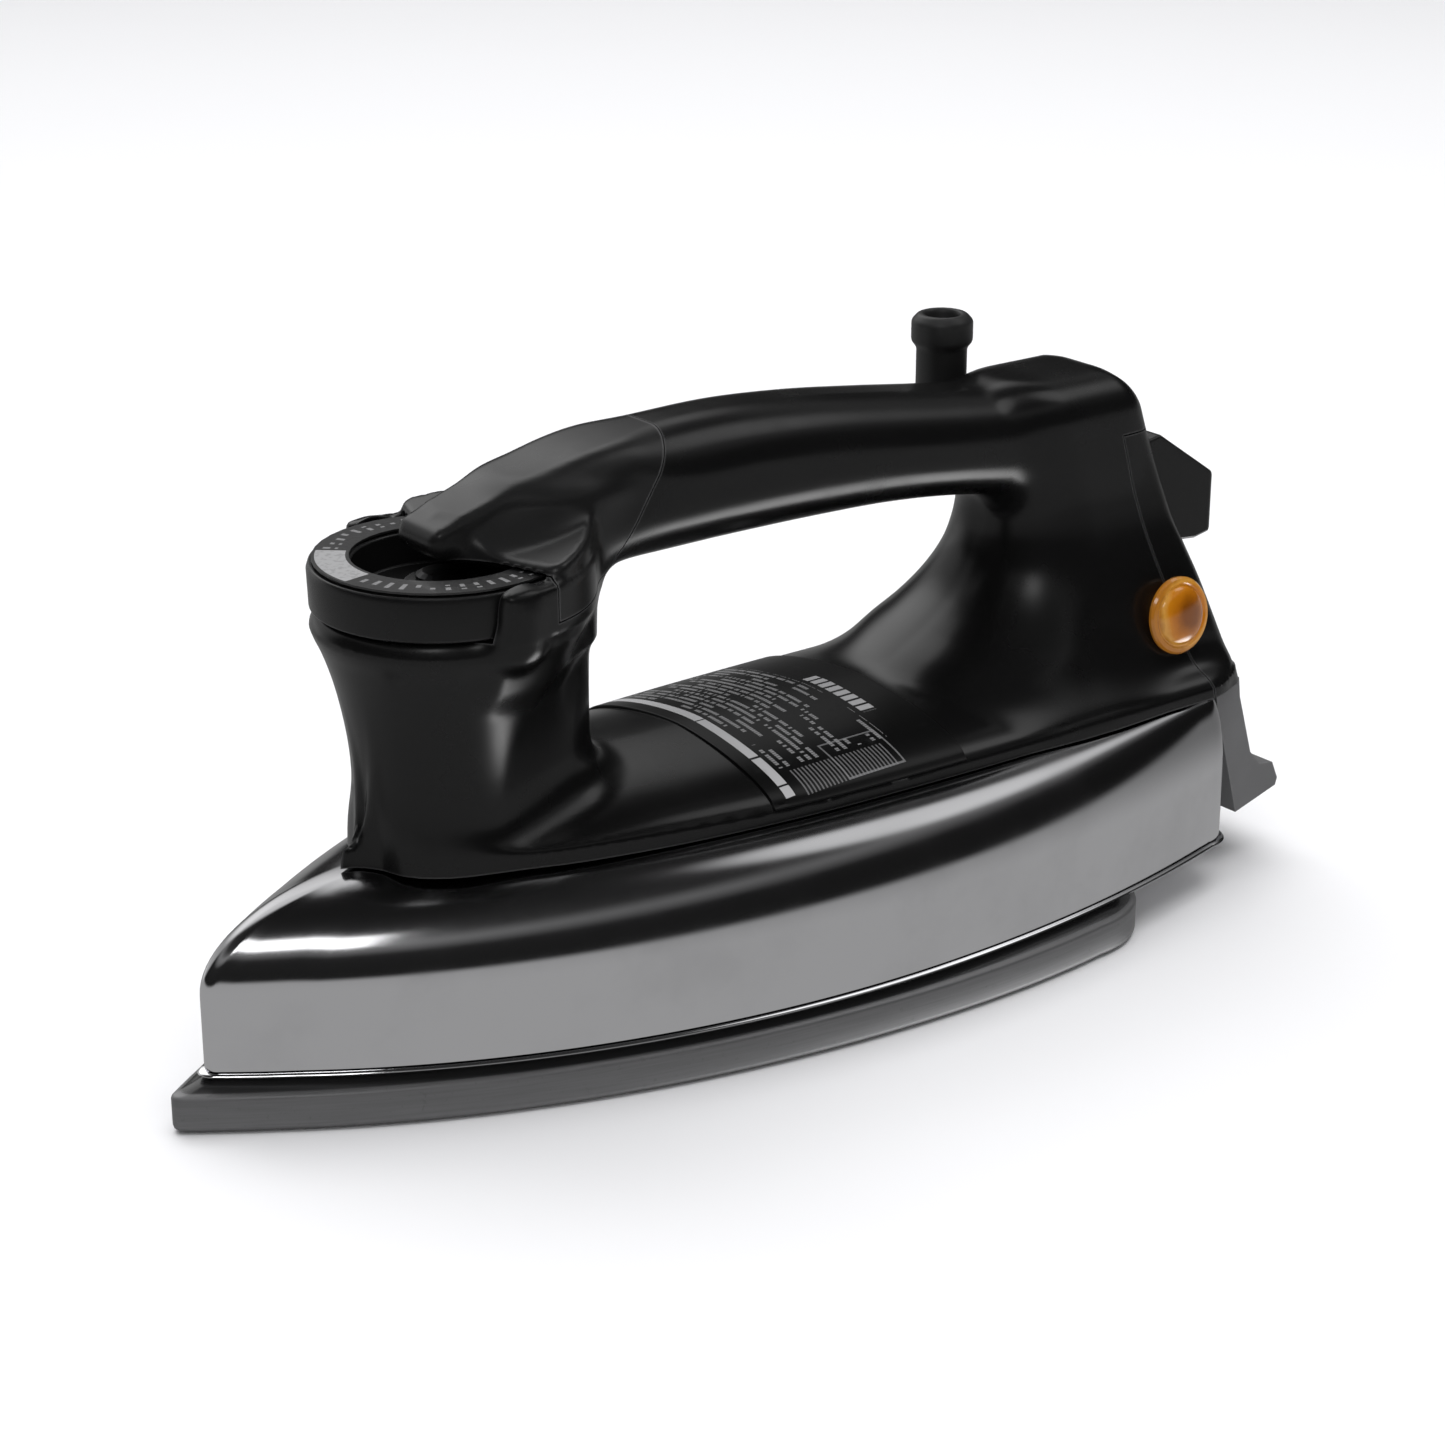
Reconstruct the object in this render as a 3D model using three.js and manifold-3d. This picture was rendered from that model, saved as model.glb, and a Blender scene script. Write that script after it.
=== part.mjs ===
// A heavyweight dry clothes iron: cast soleplate, pressed cover, moulded handle and its insides.
// Millimetres, +Z up. Inside the root group x = 0 is the nose tip and +x runs to the heel.
import * as THREE from "three";
import { mergeVertices } from "three/addons/utils/BufferGeometryUtils.js";
import Module from "manifold-3d";

const wasm = await Module();
wasm.setup();

// ---- Driving dimensions ----
const gap = 0.3; // left between faces that touch
const soleLength = 204;
const soleHalfWidth = 49;
const soleSide = 7.3; // height of the plain side band
const ledgeRise = 1.9; // the sloping ledge above the side band
const ledgeWidth = 5;
const islandRise = 2.8; // raised middle that carries the element
const islandInset = 9;
const elementThickness = 1.2;
const sheetThickness = 1.2;
const weightThickness = 12;
const plateInset = 11; // element, sheet and weight against the sole's outline
const rimThickness = 0.9;
const rimLip = 0.8; // how far the rim shows round the cover
const coverNose = 7; // the cover's nose behind the sole's nose
const coverSetback = 2.8; // the cover's side inside the sole's side
const coverOverhang = 27; // the cover's tail behind the sole's tail
const coverDepth = 31;
const coverWall = 1.4;
const shoulderRise = 17;
const noseSweep = 34; // how far the shoulder runs back at the nose
const sideSweep = 13;
const tailSweep = 3.5;
const dialX = 60;
const dialRadius = 24;
const dialHeight = 9.4;
const dialWall = 8; // width of the dial's raised rim
const dialFloor = 2.6;
const wellClearance = 0.6; // round the dial in its well
const cheekWall = 3;
const postWaist = 17.8; // front radius of the post at its narrowest
const postHeight = 46; // base to the ledge under the dial
const postRearRadius = 13;
const postDepth = 29; // dial axis to the back of the post
const saddleRise = 10.6;
const baseLip = 2;
const baseHalfWidth = 33;
const openingHeight = 37.6; // saddle ridge to the underside of the grip
const gripHeight = 25;
const columnFront = 44; // column front ahead of the cover's tail
const baseOverhang = 9.5; // handle base behind the cover's tail
const caseWall = 3.2;
const capSeam = 0.3;
const lensRadius = 8;
const lensDrop = 17; // lens axis above the base
const lensFromTail = 11.5;
const lensStandOff = 1.2; // flange clear of the column's leaning side
const guardRadius = 5.2;
const guardBore = 3.4;
const guardHeight = 25.5;
const ballRadius = 6.9;
const ballClearance = 0.35;
const swing = 10; // degrees each way that the cord guard leans
const studRadius = 2.5;
const studClearance = 0.5;
const nutRadius = 4.6;
const nutHeight = 4;
const spindleRadius = 3;
const spindleClearance = 0.6;
const screwRadius = 1.5;
const screwHeadRadius = 2.9;
const screwHeadHeight = 2;
const rearScrewRise = 16; // rear cover screw above the base
const rearScrewInset = 7.7; // its seat ahead of the base's tail
const rearScrewLength = 14;
const restHalfWidth = 11.5;
const plateStart = 112; // rating plate, from the nose
const plateLength = 46;
const plateThickness = 0.5;
const footHalfWidth = 27;
const footReach = 21.5; // heel foot's end behind the cover's tail
const footDrop = 31; // base underside to the bottom of the foot
const leadRadius = 1.3;

// ---- Heights and places worked out from them ----
const ledgeTop = soleSide + ledgeRise;
const islandTop = ledgeTop + islandRise;
const rimZ = ledgeTop + gap;
const coverZ = rimZ + rimThickness + gap;
const coverTop = coverZ + coverDepth;
const coverTail = soleLength + coverOverhang;
const coverHalf = soleHalfWidth - coverSetback;
const coverWidest = soleLength * 0.7;
const elementZ = islandTop + gap;
const sheetZ = elementZ + elementThickness + gap;
const weightZ = sheetZ + sheetThickness + gap;
const weightTop = weightZ + weightThickness;
const baseZ = coverTop + gap;
const baseTail = coverTail + baseOverhang;
const ridgeZ = baseZ + saddleRise;
const underGrip = ridgeZ + openingHeight;
const gripTop = underGrip + gripHeight;
const dialZ = baseZ + postHeight + gap;
const dialTop = dialZ + dialHeight;
const postRear = dialX + postDepth;
const columnX = coverTail - columnFront;
const frontStudX = dialX + 16;
const rearStudX = soleLength - 7.5;
const hollowX = columnX + 4.5;
const hollowZ = baseZ + 4.2;
const lensX = coverTail - lensFromTail;
const lensZ = baseZ + lensDrop;

// ---- Finishes ----
function finish(color, roughness, metalness = 0) {
  return new THREE.MeshStandardMaterial({ color, roughness, metalness });
}
const castAluminium = () => finish(0x5b5c5e, 0.45, 0.9);
const chrome = () => finish(0xc9cacc, 0.12, 1);
const blackMoulding = () => finish(0x131314, 0.28);
const greyMoulding = () => finish(0x48494b, 0.45);
const steel = () => finish(0x9a9b9d, 0.35, 0.9);
const brass = () => finish(0xb5924c, 0.35, 0.9);
const castIron = () => finish(0x3b3b3d, 0.7, 0.6);
const mica = () => finish(0xa89c84, 0.6);
const ceramic = () => finish(0xe4e0d6, 0.5);
const rubber = () => finish(0x1b1b1c, 0.75);

// ---- Geometry helpers ----
function solid(geometry) {
  const bare = geometry.clone();
  bare.deleteAttribute("normal");
  bare.deleteAttribute("uv");
  const merged = mergeVertices(bare, 1e-4);
  const place = merged.attributes.position;
  const corners = [];
  let volume = 0;
  const a = new THREE.Vector3();
  const b = new THREE.Vector3();
  const c = new THREE.Vector3();
  for (let i = 0; i < merged.index.count; i += 3) {
    const [p, q, r] = [0, 1, 2].map((k) => merged.index.getX(i + k));
    if (p === q || q === r || r === p) continue;
    corners.push(p, q, r);
    a.fromBufferAttribute(place, p);
    b.fromBufferAttribute(place, q);
    c.fromBufferAttribute(place, r);
    volume += a.dot(b.cross(c));
  }
  if (volume < 0) corners.reverse();
  const mesh = {
    numProp: 3,
    vertProperties: new Float32Array(place.array),
    triVerts: new Uint32Array(corners),
  };
  return new wasm.Manifold(new wasm.Mesh(mesh));
}

function geometryOf(shape) {
  const mesh = shape.getMesh();
  const geometry = new THREE.BufferGeometry();
  geometry.setAttribute("position", new THREE.BufferAttribute(new Float32Array(mesh.vertProperties), 3));
  geometry.setIndex(new THREE.BufferAttribute(new Uint32Array(mesh.triVerts), 1));
  geometry.computeVertexNormals();
  return geometry;
}

const join = (first, ...rest) => rest.reduce((sum, next) => sum.add(next), first);
const cut = (first, ...rest) => rest.reduce((left, next) => left.subtract(next), first);

// Closed skin over rings of Vector3 that all have the same number of points.
function loft(rings) {
  const count = rings[0].length;
  const points = rings.flat();
  const index = [];
  for (let r = 0; r + 1 < rings.length; r++) {
    for (let i = 0; i < count; i++) {
      const here = r * count + i;
      const next = r * count + ((i + 1) % count);
      index.push(here, next, next + count, here, next + count, here + count);
    }
  }
  for (const end of [0, rings.length - 1]) {
    const middle = points.length;
    const centre = new THREE.Vector3();
    rings[end].forEach((p) => centre.addScaledVector(p, 1 / count));
    points.push(centre);
    for (let i = 0; i < count; i++) {
      const here = end * count + i;
      const next = end * count + ((i + 1) % count);
      if (end === 0) index.push(middle, next, here);
      else index.push(middle, here, next);
    }
  }
  const geometry = new THREE.BufferGeometry().setFromPoints(points);
  geometry.setIndex(index);
  return solid(geometry);
}

// Outline round a set of circles [u, v, radius], as a rubber band round them, counter-clockwise.
function bandRound(circles, count) {
  const outline = [];
  for (let i = 0; i < count; i++) {
    const turn = ((i + 0.5) / count) * 2 * Math.PI;
    const [u, v] = [Math.cos(turn), Math.sin(turn)];
    const reach = (c) => c[0] * u + c[1] * v + c[2];
    const far = circles.reduce((best, c) => (reach(c) > reach(best) ? c : best));
    outline.push([far[0] + far[2] * u, far[1] + far[2] * v]);
  }
  return outline;
}

function box(x, y, z, sx, sy, sz) {
  return solid(new THREE.BoxGeometry(sx, sy, sz).translate(x, y, z));
}

// Solid of revolution about a vertical axis through (x, y); the profile is [radius, height] pairs.
function turned(profile, x, y, segments = 20) {
  const points = profile.map(([r, h]) => new THREE.Vector2(r, h));
  const geometry = new THREE.LatheGeometry(points, segments).rotateX(Math.PI / 2);
  return solid(geometry.translate(x, y, 0));
}

function rod(radius, x, y, z0, z1, segments = 20) {
  return turned([[0, z0], [radius, z0], [radius, z1], [0, z1]], x, y, segments);
}

function sleeve(inner, outer, x, y, z0, z1, segments = 24) {
  return turned([[inner, z0], [outer, z0], [outer, z1], [inner, z1], [inner, z0]], x, y, segments);
}

function screwUp(x, y, headZ, tipZ) {
  const profile = [[0, headZ], [screwHeadRadius, headZ], [screwHeadRadius, headZ + screwHeadHeight]];
  profile.push([screwRadius, headZ + screwHeadHeight], [screwRadius, tipZ], [0, tipZ]);
  return turned(profile, x, y, 14);
}

// Upright slab whose outline is drawn in x and z.
function slab(outline, halfWidth) {
  const shape = new THREE.Shape(outline.map(([x, z]) => new THREE.Vector2(x, z)));
  const geometry = new THREE.ExtrudeGeometry(shape, { depth: 2 * halfWidth, bevelEnabled: false });
  return solid(geometry.rotateX(Math.PI / 2).translate(0, halfWidth, 0));
}

function tube(points, radius, steps, sides = 8) {
  // An arc's own points are two for each curve segment.
  const ring = new THREE.Shape();
  ring.absarc(0, 0, radius, 0, 2 * Math.PI);
  const path = new THREE.CatmullRomCurve3(points.map((p) => new THREE.Vector3(...p)));
  const settings = { steps, curveSegments: sides / 2, extrudePath: path, bevelEnabled: false };
  return solid(new THREE.ExtrudeGeometry(ring, settings));
}

// Iron-shaped outline: pointed nose, widest place, hip, rounded tail corner.
function ironOutline({ nose, wide, half, hip, hipHalf, tail, tailHalf }) {
  const side = [];
  const bow = new THREE.CubicBezierCurve(
    new THREE.Vector2(nose, 0),
    new THREE.Vector2(nose + 0.245 * (wide - nose), 0.633 * half),
    new THREE.Vector2(nose + 0.61 * (wide - nose), half),
    new THREE.Vector2(wide, half),
  );
  side.push(...bow.getPoints(12).slice(0, -1));
  const flankBend = new THREE.Vector2((wide + hip) / 2, half);
  const widest = new THREE.Vector2(wide, half);
  const hipPoint = new THREE.Vector2(hip, hipHalf);
  const flank = new THREE.QuadraticBezierCurve(widest, flankBend, hipPoint);
  side.push(...flank.getPoints(4).slice(0, -1));
  const bendHalf = hipHalf - (0.5 * (half - hipHalf) * (tail - hip)) / (hip - wide);
  const cornerBend = new THREE.Vector2(tail, bendHalf);
  const corner = new THREE.QuadraticBezierCurve(hipPoint, cornerBend, new THREE.Vector2(tail, tailHalf));
  side.push(...corner.getPoints(5));
  const mirrored = side.slice(1).reverse().map((p) => new THREE.Vector2(p.x, -p.y));
  return [...side, ...mirrored];
}

const atHeight = (outline, z) => outline.map((p) => new THREE.Vector3(p.x, p.y, z));

function soleOutline(inset) {
  return ironOutline({
    nose: 1.6 * inset,
    wide: soleLength * 0.75,
    half: soleHalfWidth - inset,
    hip: soleLength - 21 - 0.5 * inset,
    hipHalf: soleHalfWidth - 2.1 - inset,
    tail: soleLength - 0.45 * inset,
    tailHalf: soleHalfWidth * 0.41 - 0.3 * inset,
  });
}

function coverOutline(grow, turn = 0) {
  const sweep = 1 - Math.cos(turn);
  return ironOutline({
    nose: coverNose - 1.5 * grow + noseSweep * sweep,
    wide: coverWidest,
    half: coverHalf + grow - sideSweep * sweep,
    hip: coverTail - 7 + 0.3 * grow,
    hipHalf: coverHalf - 11 + grow - tailSweep * sweep,
    tail: coverTail + grow - tailSweep * sweep,
    tailHalf: coverHalf - 19 + 0.4 * grow - tailSweep * sweep,
  });
}

// Flat plate inside the sole's outline, between two heights.
function plateUnder(inset, z0, z1) {
  return loft([atHeight(soleOutline(inset), z0), atHeight(soleOutline(inset), z1)]);
}

// ---- Sole, element and weight ----
const studHoles = (radius, z0, z1) => join(
  rod(radius, frontStudX, 0, z0, z1),
  rod(radius, rearStudX, 0, z0, z1),
);

const tabX = soleLength - 62;
const tabY = 12;
const tabSize = [6, 1];

function soleplate() {
  const levels = [
    [1.5, 0],
    [0.5, 0.4],
    [0, 1.4],
    [0, soleSide],
    [0.6, soleSide + 0.3],
    [ledgeWidth, ledgeTop],
  ];
  levels.push([islandInset, ledgeTop], [islandInset, islandTop]);
  const body = loft(levels.map(([inset, z]) => atHeight(soleOutline(inset), z)));
  return cut(body, studHoles(studRadius + 0.3, soleSide - 2, islandTop + 1));
}

function tabSlots(clearance, z0, z1) {
  const [sx, sy] = tabSize.map((s) => s + 2 * clearance);
  const slots = [-1, 1].map((side) => box(tabX, side * tabY, (z0 + z1) / 2, sx, sy, z1 - z0));
  return join(...slots);
}

function heatingElement() {
  const card = plateUnder(plateInset, elementZ, elementZ + elementThickness);
  return cut(card, studHoles(studRadius + studClearance, elementZ - 1, elementZ + elementThickness + 1));
}

function insulationSheet() {
  const sheet = plateUnder(plateInset, sheetZ, sheetZ + sheetThickness);
  const holes = studHoles(studRadius + studClearance, sheetZ - 1, sheetZ + sheetThickness + 1);
  return cut(sheet, holes, tabSlots(0.8, sheetZ - 1, sheetZ + sheetThickness + 1));
}

function pressureWeight() {
  const rings = [[0, weightZ], [0, weightTop - 2.5], [2.5, weightTop]];
  const body = loft(rings.map(([inset, z]) => atHeight(soleOutline(plateInset + inset), z)));
  const holes = studHoles(studRadius + studClearance, weightZ - 1, weightTop + 1);
  return cut(body, holes, tabSlots(0.8, weightZ - 1, weightTop + 1));
}

function elementTab(side) {
  const z0 = elementZ + elementThickness + gap;
  const z1 = weightTop + 6;
  const blade = box(tabX, side * tabY, (z0 + z1) / 2, tabSize[0], tabSize[1], z1 - z0);
  return cut(blade, solid(new THREE.CylinderGeometry(1.3, 1.3, 4, 12).translate(tabX, side * tabY, z1 - 3)));
}

// ---- Rim and cover ----
function rimPlate() {
  const plate = loft([rimZ, rimZ + rimThickness].map((z) => atHeight(coverOutline(rimLip), z)));
  const opening = [rimZ - 1, rimZ + rimThickness + 1].map((z) => atHeight(soleOutline(islandInset - 0.5), z));
  return cut(plate, loft(opening));
}

function coverSkin(grow, top, foot) {
  const wallTop = top - shoulderRise;
  const turns = [0.25, 0.5, 0.75, 1, 1.25, Math.PI / 2];
  const rings = [atHeight(coverOutline(grow), foot), atHeight(coverOutline(grow), wallTop)];
  turns.forEach((t) => rings.push(atHeight(coverOutline(grow, t), wallTop + shoulderRise * Math.sin(t))));
  return loft(rings);
}

const leadHoleX = coverTail - 19;
const leadHoleRadius = 6.5;

function coverShell() {
  const skin = coverSkin(0, coverTop, coverZ);
  const inside = coverSkin(-coverWall, coverTop - coverWall, coverZ - 5);
  const spindleHole = rod(spindleRadius + 1.5, dialX, 0, coverTop - 5, coverTop + 1);
  const leadHole = rod(leadHoleRadius, leadHoleX, 0, coverTop - 5, coverTop + 1);
  const forStuds = studHoles(studRadius + studClearance, coverTop - 5, coverTop + 1);
  return cut(skin, inside, spindleHole, leadHole, forStuds);
}

// ---- Handle moulding, as one outer form that the seams divide ----
// Post: height above the base, flare and forward shift give its vase shape.
const postStations = [
  [0, 0, 3],
  [4, -0.4, 2.4],
  [11, -0.4, 1.4],
  [18, -0.2, 1],
  [27, 1, 0.5],
  [34, 2.4, 0],
  [40, 4.2, 0],
  [44, 5.9, 0],
  [46, 6.4, 0],
];

function postForm() {
  const full = postStations[postStations.length - 1][0];
  const rings = postStations.map(([up, flare, ahead]) => {
    const front = Math.min(postWaist + flare - 0.8 * ahead, dialRadius + 0.4);
    const waist = 1 + 0.5 * (up / 23 - 1) ** 2;
    const rear = postRear - postRearRadius + 2 * (waist - 1);
    const z = baseZ + (up * postHeight) / full;
    const circles = [[dialX - ahead, 0, front], [rear, 0, postRearRadius]];
    return bandRound(circles, 28).map(([x, y]) => new THREE.Vector3(x, y, z));
  });
  return loft(rings);
}

// Half width of the handle's base at each place along it.
function baseSide() {
  const start = new THREE.Vector2(dialX - 17.4, 0.5);
  const widest = new THREE.Vector2(coverWidest, baseHalfWidth);
  const bow = new THREE.CubicBezierCurve(
    start,
    new THREE.Vector2(start.x, baseHalfWidth * 0.42),
    new THREE.Vector2(dialX + 16, baseHalfWidth * 0.9),
    widest,
  );
  const tailCorner = new THREE.Vector2(baseTail - 16.5, baseHalfWidth + 0.5);
  const flank = [0.1, 0.2, 0.3, 0.39, 0.47, 0.55, 0.75, 1].map((t) => widest.clone().lerp(tailCorner, t));
  const corner = new THREE.QuadraticBezierCurve(
    tailCorner,
    new THREE.Vector2(baseTail - 2, baseHalfWidth + 0.5),
    new THREE.Vector2(baseTail, baseHalfWidth - 16),
  );
  return [...bow.getPoints(11), ...flank, ...corner.getPoints(4).slice(1)];
}

const smooth = (low, high, x) => THREE.MathUtils.smoothstep(x, low, high);

// Height of the saddle's ridge above the base at a place along it.
function ridgeRise(x) {
  return saddleRise * (0.3 + 0.7 * smooth(dialX - 19, postRear + 4, x));
}

// The saddle's section is round in the middle and pinched where it sweeps up into post and column.
function saddleRing(x, half, rise, count = 20) {
  const pinch = 0.3 + 0.3 * (1 - smooth(dialX, plateStart - 5, x));
  const ring = [new THREE.Vector3(x, half, baseZ), new THREE.Vector3(x, -half, baseZ)];
  const arch = [];
  for (let i = 0; i <= count - 2; i++) {
    const turn = (i / (count - 2)) * Math.PI;
    const [c, s] = [Math.cos(turn), Math.sin(turn)];
    const y = -half * Math.sign(c) * Math.abs(c) ** (1 + pinch);
    const z = baseZ + baseLip + (rise - baseLip) * Math.max(s, 0) ** (1 + 0.6 * pinch);
    arch.push(new THREE.Vector3(x, y, z));
  }
  return [...ring, ...arch];
}

function saddleForm() {
  return loft(baseSide().map((p, i) => saddleRing(p.x + i * 1e-3, p.y, ridgeRise(p.x))));
}

// Rear column: hull of four upright round corners at each height.
const columnHeight = () => gripTop - 8 - baseZ;
const columnStations = [
  // share of the height, half width, front setback, rear setback from the base's tail
  [0, 31, -24, 0.8],
  [0.06, 29, -23, 1.8],
  [0.13, 26.5, -21, 2.8],
  [0.2, 24.6, -18, 4.2],
  [0.26, 23, -12.5, 5.2],
  [0.34, 21.5, -6, 6.6],
  [0.44, 19.5, -1, 8.6],
  [0.52, 18.2, 0.8, 10.4],
  [0.62, 16.8, 1.6, 12.2],
  [0.78, 15.2, 1.2, 16],
  [0.9, 14, -2, 19],
  [0.97, 12.5, -4, 24],
];

function columnForm(inset = 0, low = 0, high = 1) {
  const rings = [];
  for (const [share, half, front, rear] of columnStations) {
    if (share < low - 0.2 || share > high + 0.2) continue;
    const z = baseZ + share * columnHeight();
    const frontRadius = half * 0.94 - inset;
    const rearRadius = Math.min(9, half * 0.7) - inset;
    const frontX = columnX + front + inset + frontRadius;
    const rearX = baseTail - rear - inset - rearRadius;
    const y = (radius) => half - inset - radius;
    const corners = [];
    for (const side of [-1, 1]) {
      corners.push([frontX, side * y(frontRadius), frontRadius], [rearX, side * y(rearRadius), rearRadius]);
    }
    rings.push(bandRound(corners, 24).map(([u, v]) => new THREE.Vector3(u, v, z)));
  }
  return loft(rings);
}

// Grip and nose of the cap: [x, top, bottom, top half width, bottom half width].
function gripStations() {
  const top = gripTop;
  const under = underGrip;
  const overDial = dialTop + gap + 0.2;
  const back = coverTail;
  return [
    [dialX - 10, overDial + 2.5, overDial, 4, 5],
    [dialX - 6, overDial + 4.6, overDial, 6.5, 9],
    [dialX, top - 11.6, overDial, 8.5, 13],
    [dialX + 8, top - 8.6, overDial - 1, 9.5, 16],
    [dialX + 18, top - 5.2, overDial - 4, 10.5, 16.5],
    [dialX + 30, top - 2.4, under - 0.5, 11.5, 14.5],
    [dialX + 42, top - 1, under, 12, 13.6],
    [dialX + 64, top - 0.6, under + 0.2, 12.5, 14],
    [back - 90, top - 1.8, under + 0.1, 12.5, 14],
    [back - 72, top - 4, under - 0.4, 12.5, 14],
    [back - 56, top - 6.4, under - 2, 12.5, 14],
    [back - 40, top - 8.7, under - 5, 12, 13.6],
    [back - 26, top - 9.3, under - 9, 11.5, 12.5],
    [back - 17, top - 9.8, under - 9, 11, 12],
    [back - 12, top - 11.8, under - 8, 10, 11],
    [back - 8, top - 16.5, under - 7, 9, 11],
  ];
}

function gripForm() {
  const rings = gripStations().map(([x, top, bottom, topHalf, bottomHalf]) => {
    const topRadius = Math.min(topHalf * 0.8, (top - bottom) * 0.45);
    const bottomRadius = Math.min(bottomHalf * 0.8, (top - bottom) * 0.45);
    const corners = [];
    for (const side of [-1, 1]) {
      corners.push([side * (topHalf - topRadius), top - topRadius, topRadius]);
      corners.push([side * (bottomHalf - bottomRadius), bottom + bottomRadius, bottomRadius]);
    }
    return bandRound(corners, 24).map(([y, z]) => new THREE.Vector3(x, y, z));
  });
  return loft(rings);
}

// Elbow that carries the top of the post up into the grip.
function elbowForm() {
  const rows = [
    [baseZ + postHeight - 4, postRear - 26, 14.5, postRear - 12.5, 12.5],
    [baseZ + postHeight + 1, dialX + 12, 16, postRear - 12, 12.5],
    [dialTop + 1, dialX + 15, 15, postRear - 9, 12.5],
    [dialTop + 8, dialX + 22, 12, postRear - 5, 12],
  ];
  const rings = rows.map(([z, frontX, frontRadius, rearX, rearRadius]) => {
    const circles = [[frontX, 0, frontRadius], [rearX, 0, rearRadius]];
    return bandRound(circles, 24).map(([x, y]) => new THREE.Vector3(x, y, z));
  });
  return loft(rings);
}

// Wall that closes round the back of the dial, open towards the nose.
function dialCheeks() {
  const inner = dialRadius + wellClearance;
  const outer = inner + cheekWall;
  const low = baseZ + postHeight - 6;
  const profile = [
    [inner - 6, low - 2],
    [inner - 1, low - 2],
    [outer, low + 4],
    [outer, dialTop - 1.4],
    [outer - 1.4, dialTop],
    [inner, dialTop],
    [inner, dialZ - gap],
    [inner - 6, dialZ - gap],
    [inner - 6, low - 2],
  ];
  const wall = turned(profile, dialX, 0, 36);
  const opening = box(dialX - 6 - outer, 0, dialTop - 12, 2 * outer, 4 * outer, 60);
  return cut(wall, opening);
}

function handleForm() {
  return join(postForm(), saddleForm(), columnForm(), gripForm(), elbowForm(), dialCheeks());
}

// Region taken by the front cap; "shift" moves its lower and rear faces outwards.
function capRegion(shift) {
  const over = dialTop + gap - 0.1 - shift;
  const low = baseZ + postHeight + 2 - shift;
  const step = dialX + 7 - shift;
  const back = postRear + 17 + shift;
  const foot = postRear + 1.5 + shift;
  const outline = [[dialX - 40, over], [step, over], [step, low], [foot - 1.5, low], [foot, underGrip + 4]];
  outline.push([back, gripTop + 1], [back, gripTop + 20], [dialX - 40, gripTop + 20]);
  return slab(outline, 60);
}

// Tongue of the main moulding that the cap fits over.
function capTongue(grow) {
  const rows = [[dialX + dialRadius + 1.2, 7, 10], [postRear, 8, 10.5], [postRear + 20, 8, 9]];
  const lows = [baseZ + postHeight, baseZ + postHeight + 1, underGrip + 5];
  const highs = [gripTop - 9, gripTop - 7, gripTop - 5];
  const rings = rows.map(([x, halfTop, halfLow], i) => {
    const radius = 2.5 + grow;
    const corners = [];
    for (const side of [-1, 1]) {
      corners.push([side * (halfTop - 2.5), highs[i] - 2.5, radius]);
      corners.push([side * (halfLow - 2.5), lows[i] + 2.5, radius]);
    }
    return bandRound(corners, 20).map(([y, z]) => new THREE.Vector3(x + (i === 0 ? -grow : 0), y, z));
  });
  return loft(rings);
}

// Region taken by the rear cover.
function rearRegion(shift) {
  const seamTop = [coverTail - 17.5 - shift, gripTop - 19.5 + shift];
  const seamFoot = [coverTail - 5 - shift, baseZ - 2];
  const behind = baseTail + 20;
  return slab([seamTop, seamFoot, [behind, baseZ - 2], [behind, seamTop[1]]], 60);
}

// Space inside the column for the terminals and the lamp.
function columnHollow() {
  const clip = box((hollowX + baseTail) / 2, 0, (hollowZ + gripTop - 22) / 2,
    baseTail - hollowX, 80, gripTop - 22 - hollowZ);
  return columnForm(caseWall).intersect(clip);
}

function lensBore(radius) {
  const bore = new THREE.CylinderGeometry(radius, radius, 30, 24);
  return solid(bore.translate(lensX, -25, lensZ));
}

// ---- Cord guard and its socket ----
const guardX = columnX + 5;
const guardY = 16.5;
const guardZ = gripTop - 22.5;
const socketTop = guardZ + 5.5;
const socketRadius = ballRadius + ballClearance + 2;

function sphereAt(radius, x, y, z) {
  const profile = [];
  for (let i = 0; i <= 12; i++) {
    const turn = -Math.PI / 2 + (i / 12) * Math.PI;
    profile.push([radius * Math.cos(turn), z + radius * Math.sin(turn)]);
  }
  profile[0][0] = 0;
  profile[12][0] = 0;
  return turned(profile, x, y, 24);
}

function socketForm() {
  const low = guardZ - ballRadius - ballClearance - 2;
  return turned([[0, low - 2.5], [4, low - 2], [socketRadius, low + 3], [socketRadius, socketTop - 1],
    [socketRadius - 1, socketTop], [0, socketTop]], guardX, guardY, 28);
}

function socketSpace() {
  const lean = Math.tan(THREE.MathUtils.degToRad(swing));
  const upright = guardRadius / Math.cos(THREE.MathUtils.degToRad(swing)) + ballClearance;
  const clearTop = gripTop + 2;
  const mouth = upright + lean * (clearTop - guardZ);
  const cone = [[0, guardZ], [upright, guardZ], [mouth, clearTop], [0, clearTop]];
  const opening = turned(cone, guardX, guardY, 28);
  const passage = tube([[guardX, guardY, guardZ], [guardX + 1.5, guardY - 4, guardZ - 8],
    [guardX + 6, guardY - 12, guardZ - 14]], guardBore, 6, 12);
  return join(sphereAt(ballRadius + ballClearance, guardX, guardY, guardZ), opening, passage);
}

function cordGuard() {
  const top = guardZ + guardHeight;
  const collar = guardRadius + 1.1;
  const profile = [
    [0, guardZ],
    [guardRadius, guardZ],
    [guardRadius, top - 6.5],
    [collar, top - 5],
    [collar, top - 1.5],
    [collar - 1.2, top],
    [0, top],
  ];
  const outer = turned(profile, guardX, guardY, 24);
  const bore = rod(guardBore, guardX, guardY, guardZ - 12, top + 5, 16);
  return cut(join(sphereAt(ballRadius, guardX, guardY, guardZ), outer), bore);
}

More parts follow.
